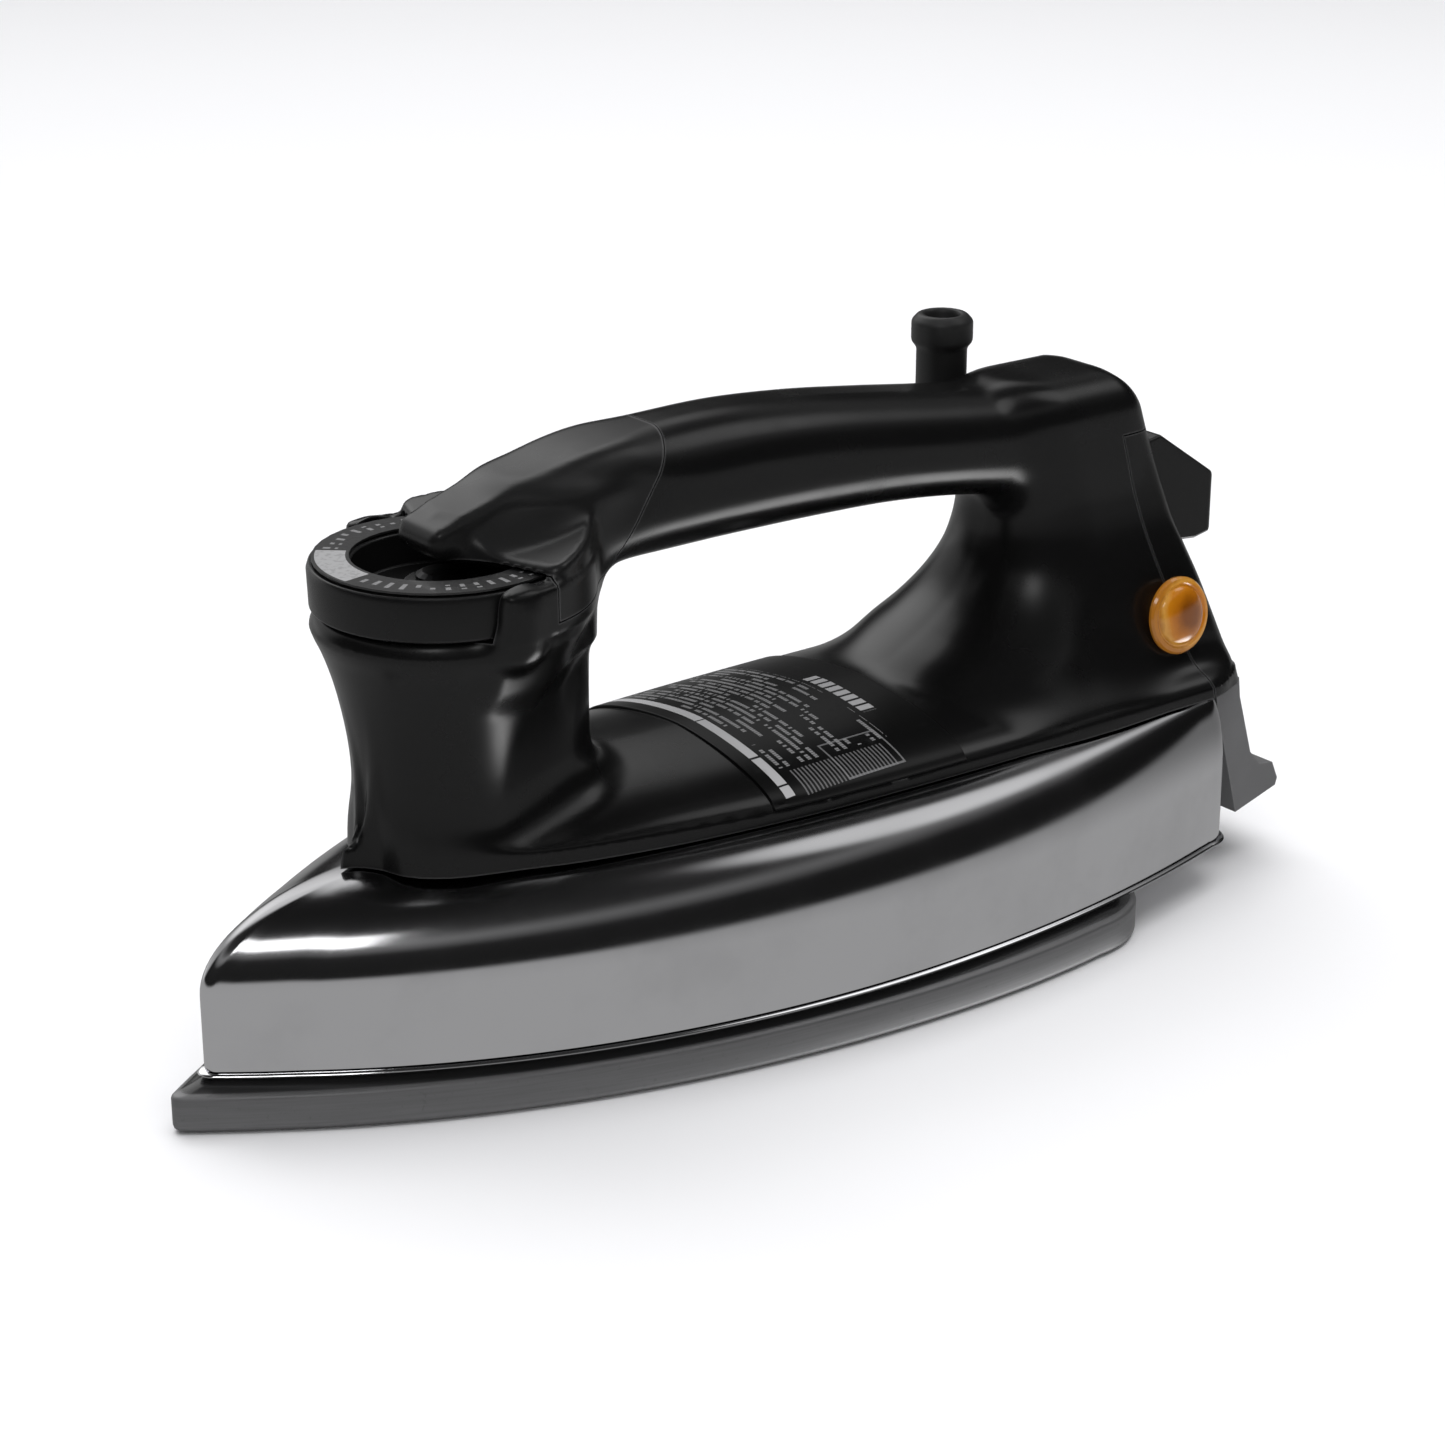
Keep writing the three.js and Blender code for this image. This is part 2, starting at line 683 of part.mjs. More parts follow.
// ---- Handle pieces cut from the form ----
const seatX = rearStudX;
const capScrewX = postRear + 9;

function footScrewPlaces() {
  return [-1, 1].map((side) => [baseTail - 5.2, side * 17]);
}

function handleBody() {
  const outer = cut(join(handleForm(), socketForm()), capRegion(0), rearRegion(capSeam));
  const body = join(outer, capTongue(0));
  const dialWell = rod(dialRadius + wellClearance, dialX, 0, dialZ - gap, dialTop + 30, 48);
  const spindleBore = rod(spindleRadius + spindleClearance, dialX, 0, baseZ - 1, dialZ + 1);
  const studBore = rod(studRadius + studClearance, frontStudX, 0, baseZ - 1, dialZ);
  const nutWell = rod(nutRadius + 1.2, frontStudX, 0, baseZ + 18, dialZ + 1);
  const rearBore = rod(studRadius + studClearance, seatX, 0, baseZ - 1, hollowZ + 1);
  const leadHole = rod(leadHoleRadius - 0.5, leadHoleX, 0, baseZ - 1, hollowZ + 1);
  const capScrewHole = rod(screwRadius + 0.3, capScrewX, 0, underGrip - 5, gripTop - 4, 14);
  const capScrewSeat = rod(screwHeadRadius + 0.4, capScrewX, 0, underGrip - 5, underGrip + 3.5, 18);
  return cut(body, dialWell, columnHollow(), lensBore(lensRadius - 1.2), socketSpace(), spindleBore,
    studBore, nutWell, rearBore, leadHole, capScrewHole, capScrewSeat);
}

function frontCap() {
  const cap = cut(handleForm().intersect(capRegion(-capSeam)), capTongue(gap));
  const clear = rod(dialRadius + wellClearance, dialX, 0, dialZ - 5, dialTop + gap, 48);
  const screwHole = rod(screwRadius + 0.3, capScrewX, 0, underGrip, gripTop - 3, 14);
  return cut(cap, clear, screwHole);
}

function restBlock() {
  const back = coverTail + 15.5;
  const top = gripTop - 22.5;
  const outline = [
    [coverTail - 8, top - 0.5],
    [coverTail - 2.5, top],
    [back, top - 12.5],
    [back + 1.5, top - 23],
    [coverTail, top - 25],
  ];
  const wide = slab(outline, restHalfWidth);
  const chamfers = [-1, 1].map((side) => {
    const wedge = new THREE.BoxGeometry(14, 14, 60).rotateZ(Math.PI / 4);
    return solid(wedge.translate(back + 3.5, side * 15.5, top - 12));
  });
  return cut(wide, ...chamfers);
}

const rearScrewZ = baseZ + rearScrewRise;
const rearSeatX = baseTail - rearScrewInset;

function rearCover() {
  const shell = cut(handleForm().intersect(rearRegion(0)), columnHollow(), lensBore(lensRadius - 1.2));
  const boss = box(rearSeatX - 4, 0, rearScrewZ, 12, 9, 9);
  const hole = new THREE.CylinderGeometry(screwRadius + gap, screwRadius + gap, 60, 14);
  const seatRadius = screwHeadRadius + 0.4;
  const seat = new THREE.CylinderGeometry(seatRadius, seatRadius, 12, 18);
  const screwHole = solid(hole.rotateZ(Math.PI / 2).translate(rearSeatX - 9, 0, rearScrewZ));
  const headSeat = solid(seat.rotateZ(Math.PI / 2).translate(rearSeatX + 6, 0, rearScrewZ));
  const pathRadius = screwRadius + gap;
  const screwPaths = footScrewPlaces().map(([x, y]) => rod(pathRadius, x, y, baseZ - 3, baseZ + 9, 14));
  const solidBack = join(shell, boss.intersect(handleForm()), restBlock());
  const trimmed = cut(solidBack, columnHollow().intersect(box(rearSeatX - 39, 0, rearScrewZ, 48, 80, 200)));
  return cut(trimmed, screwHole, headSeat, ...screwPaths);
}

function rearCoverScrew() {
  const profile = [
    [0, -screwHeadHeight],
    [screwHeadRadius, -screwHeadHeight],
    [screwHeadRadius, 0],
    [screwRadius, 0],
    [screwRadius, rearScrewLength],
    [0, rearScrewLength],
  ];
  const points = profile.map(([r, h]) => new THREE.Vector2(r, h));
  const geometry = new THREE.LatheGeometry(points, 14).rotateZ(Math.PI / 2);
  return solid(geometry.translate(rearSeatX + gap, 0, rearScrewZ));
}

function heelFoot() {
  const z = baseZ - gap;
  const low = z - footDrop;
  const outline = [
    [coverTail + 1, z],
    [coverTail + 2, z - 6],
    [coverTail + 9.2, low],
    [coverTail + footReach - 0.5, low + 3.4],
    [coverTail + footReach, low + 5],
    [coverTail + 19.7, low + 9],
    [coverTail + 15.7, low + 9.5],
    [coverTail + 12.7, low + 13],
    [baseTail - 1, z - 4.5],
    [baseTail - 1.6, z],
  ];
  const body = slab(outline, footHalfWidth);
  const holes = footScrewPlaces().map(([x, y]) => rod(screwRadius + 0.3, x, y, z - 12, z + 1, 14));
  const pocketLength = 16 + 2 * screwHeadRadius + 0.8;
  const pockets = footScrewPlaces().map(([x, y]) => box(x + 8, y, z - 12, pocketLength, 7, 14));
  return cut(body, ...holes, ...pockets);
}

// ---- Dial, spindle and thermostat ----
function dialRing() {
  const inner = dialRadius - dialWall;
  const hubRadius = spindleRadius + 0.3;
  const profile = [
    [hubRadius, dialZ],
    [dialRadius - 0.8, dialZ],
    [dialRadius, dialZ + 0.8],
    [dialRadius, dialTop - 1.6],
    [dialRadius - 0.6, dialTop - 0.8],
    [inner, dialTop - 0.8],
    [inner, dialZ + dialFloor],
    [7, dialZ + dialFloor],
    [7, dialZ + dialFloor + 1.6],
    [hubRadius, dialZ + dialFloor + 1.6],
    [hubRadius, dialZ],
  ];
  return turned(profile, dialX, 0, 48);
}

function dialScale() {
  return sleeve(dialRadius - dialWall + gap, dialRadius - 1, dialX, 0, dialTop - 0.5, dialTop - 0.1, 40);
}

function dialSpindle() {
  const low = coverTop - 3;
  const top = dialZ + dialFloor + 1.2;
  const socket = spindleRadius - 0.9;
  const profile = [
    [socket, low],
    [spindleRadius, low],
    [spindleRadius, top],
    [0, top],
    [0, low + 6],
    [socket, low + 6],
    [socket, low],
  ];
  return turned(profile, dialX, 0, 20);
}

const screwTipZ = () => weightTop + 8.2;

function adjustingScrew() {
  const top = coverTop + 1;
  const tip = screwTipZ();
  return turned([[0, tip], [1.2, tip], [1.7, tip + 1], [1.7, top], [0, top]], dialX, 0, 16);
}

function dialScrew() {
  const z = dialZ + dialFloor + 1.6 + gap;
  return turned([[0, z], [4.6, z], [4.6, z + 0.8], [3.4, z + 1.5], [0, z + 1.5]], dialX, 0, 20);
}

const stackX = dialX - 24;
const bladeEnd = dialX + 10;
const bladeZ = weightTop + gap;

function thermostatBase() {
  const plate = box((stackX - 5 + bladeEnd) / 2, 0, bladeZ + 0.6, bladeEnd - stackX + 5, 14, 1.2);
  const stand = [-1, 1].map((side) => box(dialX, side * 6.4, bladeZ + 5.2, 7, 1.2, 9.6));
  const bridge = box(dialX, 0, bladeZ + 9.4, 7, 14, 1.2);
  const hole = rod(1.7 + 0.35, dialX, 0, bladeZ + 6, bladeZ + 14, 16);
  const rivetHole = rod(1.4 + gap, stackX, 0, bladeZ - 1, bladeZ + 3, 14);
  return cut(join(plate, ...stand, bridge), hole, rivetHole);
}

const layers = () => {
  const bimetal = bladeZ + 1.2 + gap;
  const lowerBead = bimetal + 0.8 + gap;
  const fixed = lowerBead + 1.2 + gap;
  const upperBead = fixed + 0.6 + gap;
  const moving = upperBead + 1.5 + gap;
  return { bimetal, lowerBead, fixed, upperBead, moving };
};

function blade(z, thickness, width, button) {
  const x0 = stackX - 4;
  const x1 = bladeEnd;
  const strip = box((x0 + x1) / 2, 0, z + thickness / 2, x1 - x0, width, thickness);
  const hole = rod(1.4 + gap, stackX, 0, z - 1, z + thickness + 1, 14);
  const pierced = cut(strip, hole);
  return button ? pierced.add(rod(2, x1 - 3, 0, button[0], button[1], 14)) : pierced;
}

function bimetalStrip() {
  return blade(layers().bimetal, 0.8, 9, null);
}

function fixedContact() {
  const z = layers().fixed;
  return blade(z, 0.6, 6, [z, z + 1.1]);
}

function movingContact() {
  const z = layers().moving;
  return blade(z, 0.6, 6, [z - 0.4, z + 0.6]);
}

const bead = (z, height) => sleeve(1.4 + gap, 4, stackX, 0, z, z + height, 18);

function stackRivet() {
  const top = layers().moving + 0.6 + gap;
  const z = bladeZ + 0.1;
  return turned([[0, z], [1.4, z], [1.4, top], [2.6, top], [2.6, top + 0.8], [0, top + 0.8]], stackX, 0, 14);
}

// ---- Studs, spacers and nuts ----
function stud(x, top) {
  return rod(studRadius, x, 0, soleSide - 1.7, top, 16);
}

function spacer(x) {
  const top = coverTop - coverWall - gap;
  return sleeve(studRadius + studClearance, studRadius + 2.6, x, 0, weightTop + gap, top, 18);
}

function hexNut(x, z) {
  const bore = (studRadius + gap) / Math.cos(Math.PI / 6);
  const profile = [[bore, z], [nutRadius, z], [nutRadius, z + nutHeight], [bore, z + nutHeight], [bore, z]];
  return turned(profile, x, 0, 6);
}

// ---- Lamp, terminals and leads ----
function pilotLens() {
  const face = lensSurfaceY();
  const stem = lensRadius - 1.5;
  const profile = [
    [0, -6],
    [stem, -6],
    [stem, gap],
    [lensRadius, gap],
    [lensRadius, 1.4],
    [lensRadius - 1, 2.2],
  ];
  for (let i = 0; i <= 5; i++) {
    const turn = (i / 5) * (Math.PI / 2);
    profile.push([(lensRadius - 2) * Math.cos(turn), 2 + 3 * Math.sin(turn)]);
  }
  profile[profile.length - 1][0] = 0;
  const points = profile.map(([r, h]) => new THREE.Vector2(r, h));
  const geometry = new THREE.LatheGeometry(points, 28).rotateX(Math.PI);
  return solid(geometry.translate(lensX, face, lensZ));
}

// Where the column's near side meets the lens flange: clear of its widest place there.
function lensSurfaceY() {
  const rise = (lensZ - lensRadius - baseZ) / columnHeight();
  const above = columnStations.find(([share]) => share >= rise);
  const below = columnStations[columnStations.indexOf(above) - 1];
  const half = THREE.MathUtils.mapLinear(rise, below[0], above[0], below[1], above[1]);
  return -(half + lensStandOff);
}

function neonLamp() {
  const geometry = new THREE.CapsuleGeometry(2.6, 8, 4, 12).rotateZ(Math.PI / 2);
  return solid(geometry.translate(lensX - 2, -10, lensZ + 1));
}

function lampHolder() {
  return box(lensX - 6, -10, lensZ - 4, 10, 8, 3);
}

const blockX = hollowX + 7;
const blockZ = hollowZ + 17;

function terminalBlock() {
  const body = box(blockX, 0, blockZ + 6, 8, 20, 12);
  const holes = [-1, 0, 1].map((k) => rod(1.2, blockX, k * 6, blockZ + 6, blockZ + 13, 12));
  return cut(body, ...holes);
}

function terminalScrew(k) {
  const headZ = blockZ + 12.3;
  const tipZ = blockZ + 7;
  const profile = [[0, tipZ], [0.9, tipZ], [0.9, headZ], [1.9, headZ], [1.9, headZ + 1.2], [0, headZ + 1.2]];
  return turned(profile, blockX, k * 6, 12);
}

function cordClamp() {
  const z = blockZ + 20;
  const plate = box(blockX + 3, 0, z, 10, 15, 2);
  const holes = [-1, 1].map((k) => rod(screwRadius, blockX + 3, k * 5, z - 3, z + 3, 12));
  return cut(plate, ...holes);
}

function clampScrew(k) {
  const z = blockZ + 21 + gap;
  const profile = [[0, z - 6], [1.2, z - 6], [1.2, z], [2.2, z], [2.2, z + 1.4], [0, z + 1.4]];
  return turned(profile, blockX + 3, k * 5, 12);
}

function lead(k, end) {
  const start = [blockX, k * 6, blockZ - leadRadius];
  const low = weightTop + 6;
  const lane = k === 0 ? 7.5 : k * 12;
  const points = [
    start,
    [blockX + 4, k * 5, blockZ - 5],
    [leadHoleX - 2, k * 3.4, hollowZ + 2],
    [leadHoleX, k * 3.4, baseZ - 2],
    [leadHoleX - 5, (k * 3.4 + lane) / 2, low],
    [rearStudX, lane, low - 1],
    end,
  ];
  return tube(points, leadRadius, 20);
}

// ---- Rating plate ----
function ratingPlate() {
  const side = baseSide();
  const sheet = (offset) => loft(side.map((p, i) => {
    const lift = ridgeRise(p.x) + offset;
    return saddleRing(p.x + i * 1e-3, p.y + offset, lift);
  }));
  const windowHeight = 60;
  const windowZ = baseZ + baseLip + 1 + windowHeight / 2;
  const windowWidth = 2 * baseHalfWidth + 10;
  const window = box(plateStart + plateLength / 2, 0, windowZ, plateLength, windowWidth, windowHeight);
  return cut(sheet(gap + plateThickness), sheet(gap)).intersect(window);
}

// ---- Assembly ----
const root = new THREE.Group();
const overallLength = coverTail + footReach;
root.position.x = -overallLength / 2;

function add(name, shape, material, parent = root) {
  const mesh = new THREE.Mesh(geometryOf(shape), material);
  mesh.name = name;
  parent.add(mesh);
}

const base = new THREE.Group();
const handle = new THREE.Group();
const thermostat = new THREE.Group();
const wiring = new THREE.Group();
root.add(base, handle, thermostat, wiring);

add("soleplate", soleplate(), castAluminium(), base);
add("heating_element", heatingElement(), mica(), base);
add("element_tab_left", elementTab(-1), brass(), base);
add("element_tab_right", elementTab(1), brass(), base);
add("insulation_sheet", insulationSheet(), mica(), base);
add("pressure_weight", pressureWeight(), castIron(), base);
add("rim_plate", rimPlate(), chrome(), base);
add("cover_shell", coverShell(), chrome(), base);
add("front_stud", stud(frontStudX, baseZ + 28), steel(), base);
add("rear_stud", stud(rearStudX, hollowZ + nutHeight + 1.5), steel(), base);
add("front_spacer", spacer(frontStudX), steel(), base);
add("rear_spacer", spacer(rearStudX), steel(), base);
add("front_nut", hexNut(frontStudX, baseZ + 18 + gap), steel(), base);
add("rear_nut", hexNut(rearStudX, hollowZ + gap), steel(), base);

add("handle_body", handleBody(), blackMoulding(), handle);
add("front_cap", frontCap(), blackMoulding(), handle);
add("rear_cover", rearCover(), blackMoulding(), handle);
add("heel_foot", heelFoot(), greyMoulding(), handle);
add("rating_plate", ratingPlate(), finish(0x0d0d0e, 0.25), handle);
add("cord_guard", cordGuard(), rubber(), handle);
add("cap_screw", screwUp(capScrewX, 0, underGrip + 1.5 - gap, gripTop - 5), steel(), handle);
add("rear_cover_screw", rearCoverScrew(), steel(), handle);
footScrewPlaces().forEach(([x, y], i) => {
  const name = i ? "foot_screw_right" : "foot_screw_left";
  add(name, screwUp(x, y, baseZ - gap - 5 - screwHeadHeight - gap, baseZ + 8), steel(), handle);
});

add("dial_ring", dialRing(), blackMoulding(), thermostat);
add("dial_scale", dialScale(), finish(0x2a2a2b, 0.4), thermostat);
add("dial_spindle", dialSpindle(), steel(), thermostat);
add("dial_screw", dialScrew(), steel(), thermostat);
add("adjusting_screw", adjustingScrew(), brass(), thermostat);
add("thermostat_base", thermostatBase(), steel(), thermostat);
add("bimetal_strip", bimetalStrip(), brass(), thermostat);
add("fixed_contact", fixedContact(), brass(), thermostat);
add("moving_contact", movingContact(), brass(), thermostat);
add("lower_bead", bead(layers().lowerBead, 1.2), ceramic(), thermostat);
add("upper_bead", bead(layers().upperBead, 1.5), ceramic(), thermostat);
add("stack_rivet", stackRivet(), steel(), thermostat);

add("pilot_lens", pilotLens(), finish(0xc8780f, 0.15), wiring);
add("neon_lamp", neonLamp(), finish(0xe8b070, 0.1), wiring);
add("lamp_holder", lampHolder(), greyMoulding(), wiring);
add("terminal_block", terminalBlock(), ceramic(), wiring);
[-1, 0, 1].forEach((k) => add(`terminal_screw_${k + 2}`, terminalScrew(k), brass(), wiring));
add("cord_clamp", cordClamp(), greyMoulding(), wiring);
[-1, 1].forEach((k) => add(k < 0 ? "clamp_screw_left" : "clamp_screw_right", clampScrew(k), steel(), wiring));
const tabTop = weightTop + 6 + gap + leadRadius;
add("lead_neutral", lead(-1, [tabX, -tabY, tabTop]), finish(0x2a4a86, 0.6), wiring);
add("lead_live", lead(1, [tabX, tabY, tabTop]), finish(0x7a4a22, 0.6), wiring);
add("lead_earth", lead(0, [rearStudX - 24, 6, weightTop + gap + leadRadius]), finish(0x4d8a3a, 0.6), wiring);

export default root;
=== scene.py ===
import math

import bmesh
import bpy
import numpy as np
from mathutils import Matrix, Vector


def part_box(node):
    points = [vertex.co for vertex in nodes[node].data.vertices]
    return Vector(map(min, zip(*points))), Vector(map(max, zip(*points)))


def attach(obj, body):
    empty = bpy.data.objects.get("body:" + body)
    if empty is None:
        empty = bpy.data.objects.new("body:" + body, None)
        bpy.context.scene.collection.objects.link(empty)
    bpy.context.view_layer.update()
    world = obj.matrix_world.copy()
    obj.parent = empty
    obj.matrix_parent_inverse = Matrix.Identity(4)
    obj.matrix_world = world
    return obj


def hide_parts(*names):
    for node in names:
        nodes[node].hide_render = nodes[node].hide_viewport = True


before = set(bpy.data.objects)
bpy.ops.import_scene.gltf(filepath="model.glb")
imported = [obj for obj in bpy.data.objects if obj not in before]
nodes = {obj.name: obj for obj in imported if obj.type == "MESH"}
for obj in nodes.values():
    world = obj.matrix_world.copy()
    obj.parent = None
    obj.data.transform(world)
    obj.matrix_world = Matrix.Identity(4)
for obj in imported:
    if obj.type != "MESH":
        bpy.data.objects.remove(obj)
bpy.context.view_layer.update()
mm = 0.001


def corners(node):
    low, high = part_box(node)
    return low / mm, high / mm


# Places below are in millimetres, with x counted from the nose of the sole.
soleLow, soleHigh = corners("soleplate")
coverLow, coverHigh = corners("cover_shell")
dialLow, dialHigh = corners("dial_ring")
guardLow, guardHigh = corners("cord_guard")
lensLow, lensHigh = corners("pilot_lens")
noseX = soleLow.x
soleLength = soleHigh.x - noseX
coverNose = coverLow.x - noseX
coverTail = coverHigh.x - noseX
baseZ = corners("handle_body")[0].z
dialX = (dialLow.x + dialHigh.x) / 2 - noseX
dialRadius = dialHigh.y
dialZ = dialLow.z
dialTop = corners("dial_scale")[1].z + 0.1
baseTail = coverTail + 9.5


# mesh tools
def meshOf(name, points, faces, smooth=True):
    mesh = bpy.data.meshes.new(name)
    places = np.array(points, float)
    places[:, 0] += noseX
    mesh.from_pydata((places * mm).tolist(), [], [list(map(int, f)) for f in faces])
    mesh.polygons.foreach_set("use_smooth", [smooth] * len(mesh.polygons))
    mesh.update()
    piece = bpy.data.objects.new(name, mesh)
    bpy.context.scene.collection.objects.link(piece)
    return piece


def quadStrip(rows, count, closed=True):
    faces = []
    for row in range(rows - 1):
        for i in range(count if closed else count - 1):
            here, after = row * count + i, row * count + (i + 1) % count
            faces.append((here, after, after + count, here + count))
    return faces


def lofted(name, rings, caps=True):
    count = len(rings[0])
    points = [p for ring in rings for p in ring]
    faces = quadStrip(len(rings), count)
    if caps:
        for row in (0, len(rings) - 1):
            middle = len(points)
            points.append(tuple(np.mean(np.array(rings[row]), axis=0)))
            for i in range(count):
                here, after = row * count + i, row * count + (i + 1) % count
                faces.append((middle, after, here) if row == 0 else (middle, here, after))
    return outward(meshOf(name, points, faces))


def outward(piece):
    work = bmesh.new()
    work.from_mesh(piece.data)
    bmesh.ops.recalc_face_normals(work, faces=work.faces)
    work.to_mesh(piece.data)
    work.free()
    return piece


def turnedPiece(name, profile, centre, segments=72, axis="z"):
    # profile is (radius, height) pairs; the first and last sit on the axis or meet each other
    closed = profile[0][0] > 1e-6
    loop = profile[:-1] if closed else profile[1:-1]
    points = []
    for radius, height in loop:
        for i in range(segments):
            turn = 2 * math.pi * i / segments
            points.append((radius * math.cos(turn), radius * math.sin(turn), height))
    faces = quadStrip(len(loop), segments)
    if closed:
        last = (len(loop) - 1) * segments
        for i in range(segments):
            after = (i + 1) % segments
            faces.append((last + i, last + after, after, i))
    else:
        for row, end in ((0, profile[0]), (len(loop) - 1, profile[-1])):
            middle = len(points)
            points.append((0, 0, end[1]))
            for i in range(segments):
                here, after = row * segments + i, row * segments + (i + 1) % segments
                faces.append((middle, after, here) if row == 0 else (middle, here, after))
    placed = []
    for x, y, z in points:
        if axis == "-y":
            x, y, z = x, -z, y
        placed.append((x + centre[0], y + centre[1], z + centre[2]))
    return outward(meshOf(name, placed, faces))


def rounded(profile, radius, steps=4):
    # rounds the corners of an open profile of 2D points
    result = [profile[0]]
    for before, corner, after in zip(profile, profile[1:], profile[2:]):
        a, b, c = (np.array(p, float) for p in (before, corner, after))
        reach = min(radius, 0.45 * np.linalg.norm(a - b), 0.45 * np.linalg.norm(c - b))
        start = b + (a - b) / np.linalg.norm(a - b) * reach
        end = b + (c - b) / np.linalg.norm(c - b) * reach
        for i in range(steps + 1):
            t = i / steps
            result.append(tuple((1 - t) ** 2 * start + 2 * t * (1 - t) * b + t * t * end))
    result.append(profile[-1])
    return result


def prism(name, outline, half):
    # upright slab with its outline in x and z
    count = len(outline)
    points = [(x, side * half, z) for side in (-1, 1) for x, z in outline]
    faces = [tuple(range(count)), tuple(range(2 * count - 1, count - 1, -1))]
    faces += [(i, (i + 1) % count, (i + 1) % count + count, i + count) for i in range(count)]
    return outward(meshOf(name, points, faces, smooth=False))


def applied(piece):
    graph = bpy.context.evaluated_depsgraph_get()
    mesh = bpy.data.meshes.new_from_object(piece.evaluated_get(graph))
    piece.modifiers.clear()
    piece.data = mesh
    return piece


def carve(piece, cutters, operation="DIFFERENCE"):
    for cutter in cutters:
        modifier = piece.modifiers.new("carve", "BOOLEAN")
        modifier.operation = operation
        modifier.solver = "MANIFOLD"
        modifier.object = cutter
        applied(piece)
    return piece


def copied(piece, name):
    twin = bpy.data.objects.new(name, piece.data.copy())
    bpy.context.scene.collection.objects.link(twin)
    return twin


def discard(*pieces):
    for piece in pieces:
        bpy.data.objects.remove(piece)


def crisp(piece, degrees=35):
    piece.data.polygons.foreach_set("use_smooth", [True] * len(piece.data.polygons))
    piece.data.set_sharp_from_angle(angle=math.radians(degrees))
    return piece


def bevelled(piece, width, segments=3, degrees=35):
    modifier = piece.modifiers.new("edges", "BEVEL")
    modifier.width = width * mm
    modifier.segments = segments
    modifier.limit_method = "ANGLE"
    modifier.angle_limit = math.radians(degrees)
    modifier.harden_normals = True
    return piece


# soft fields: negative inside, in millimetres
def glide(t, knots, values):
    # smooth curve through the values, flat beyond the ends
    knots, values = np.array(knots, float), np.array(values, float)
    slopes = np.gradient(values, knots)
    t = np.clip(t, knots[0], knots[-1])
    i = np.clip(np.searchsorted(knots, t, side="right") - 1, 0, len(knots) - 2)
    width = knots[i + 1] - knots[i]
    s = (t - knots[i]) / width
    keep = (1 + 2 * s) * (1 - s) ** 2 * values[i] + s * s * (3 - 2 * s) * values[i + 1]
    return keep + s * (1 - s) ** 2 * width * slopes[i] - s * s * (1 - s) * width * slopes[i + 1]


def melt(a, b, k):
    h = np.clip(0.5 + 0.5 * (b - a) / k, 0, 1)
    return b * (1 - h) + a * h - k * h * (1 - h)


def roundBoth(a, b, radius):
    # inside both, with a round edge
    outside = np.hypot(np.maximum(a + radius, 0), np.maximum(b + radius, 0))
    return np.minimum(np.maximum(a, b), -radius) + outside


def twoRounds(x, y, xa, ra, xb, rb):
    # hull of two circles on the x axis
    span = xb - xa
    lean = np.clip((ra - rb) / span, -0.99, 0.99)
    rest = np.sqrt(1 - lean ** 2)
    across, ahead = np.abs(y), x - xa
    k = -lean * across + rest * ahead
    first = np.hypot(across, ahead) - ra
    second = np.hypot(across, ahead - span) - rb
    flank = across * rest + ahead * lean - ra
    return np.where(k < 0, first, np.where(k > rest * span, second, flank))


handle = {
    "postWaist": 17.8,
    "postHeight": 46.0,
    "postRear": 89.0,
    "postRearRadius": 13.0,
    "saddleRise": 10.6,
    "baseLip": 2.6,
    "underGrip": 90.2,
    "gripTop": 115.2,
    "columnX": 187.0,
    "wall": 3.2,
    "voxel": 0.8,
}
columnTop = handle["gripTop"] - 8


def postField(x, y, z):
    up = z - baseZ
    heights = [0, 4, 11, 18, 27, 34, 39, 41.8, 43.2, 44.4, 46]
    flare = glide(up, heights, [0, -0.4, -0.4, -0.2, 1.1, 2.8, 4.5, 5.7, 6.1, 5.7, 4.9])
    ahead = glide(up, heights, [3, 2.4, 1.4, 1, 0.5, 0, 0, 0, 0, 0, 0])
    front = handle["postWaist"] + flare - 0.8 * ahead
    waist = 0.5 * (up / 23 - 1) ** 2
    rearX = handle["postRear"] - handle["postRearRadius"] + 2 * waist
    d = twoRounds(x, y, dialX - ahead, front, rearX, handle["postRearRadius"])
    return np.maximum(roundBoth(d, up - handle["postHeight"], 0.8), baseZ - 2 - z)


def baseHalf(x):
    knots = [42.5, 43.3, 45, 49, 56, 68, 85, 105, 125, 143, 231]
    return glide(x, knots, [0, 4.6, 8.4, 12.6, 17, 22.2, 26.8, 30.2, 32.2, 33, 33.5])


def saddleField(x, y, z):
    rise = handle["saddleRise"] * (0.3 + 0.7 * smoothStep(dialX - 19, handle["postRear"] + 4, x))
    pinch = 0.3 + 0.3 * (1 - smoothStep(dialX, 107, x))
    half = baseHalf(x)
    lip = handle["baseLip"] + 0.9 * (1 - smoothStep(dialX + 10, 125, x))
    past = np.clip((x - baseTail + 17) / 17, 0, 1)
    inner = np.maximum(half - 0.5 - 17 * (1 - np.sqrt(1 - past ** 2)), 0.5)
    arch = 1 - np.minimum(np.abs(y) / inner, 1) ** (2 / (1 + pinch))
    top = baseZ + lip + np.maximum(rise - lip, 0) * arch ** ((1 + 0.6 * pinch) / 2)
    steep = 1 + 0.6 * (np.abs(y) / inner)
    above = (z - top) / steep
    side = (np.abs(y) - half) * 0.9
    body = roundBoth(side, above, 0.5)
    body = roundBoth(body, x - baseTail, 0.5)
    corner = np.hypot(np.maximum(x - (baseTail - 17), 0), np.maximum(np.abs(y) - (half - 17), 0)) - 17
    body = np.where((x > baseTail - 17) & (np.abs(y) > half - 17), np.maximum(body, corner), body)
    return np.maximum(body, baseZ - 2 - z)


def smoothStep(low, high, x):
    t = np.clip((x - low) / (high - low), 0, 1)
    return t * t * (3 - 2 * t)


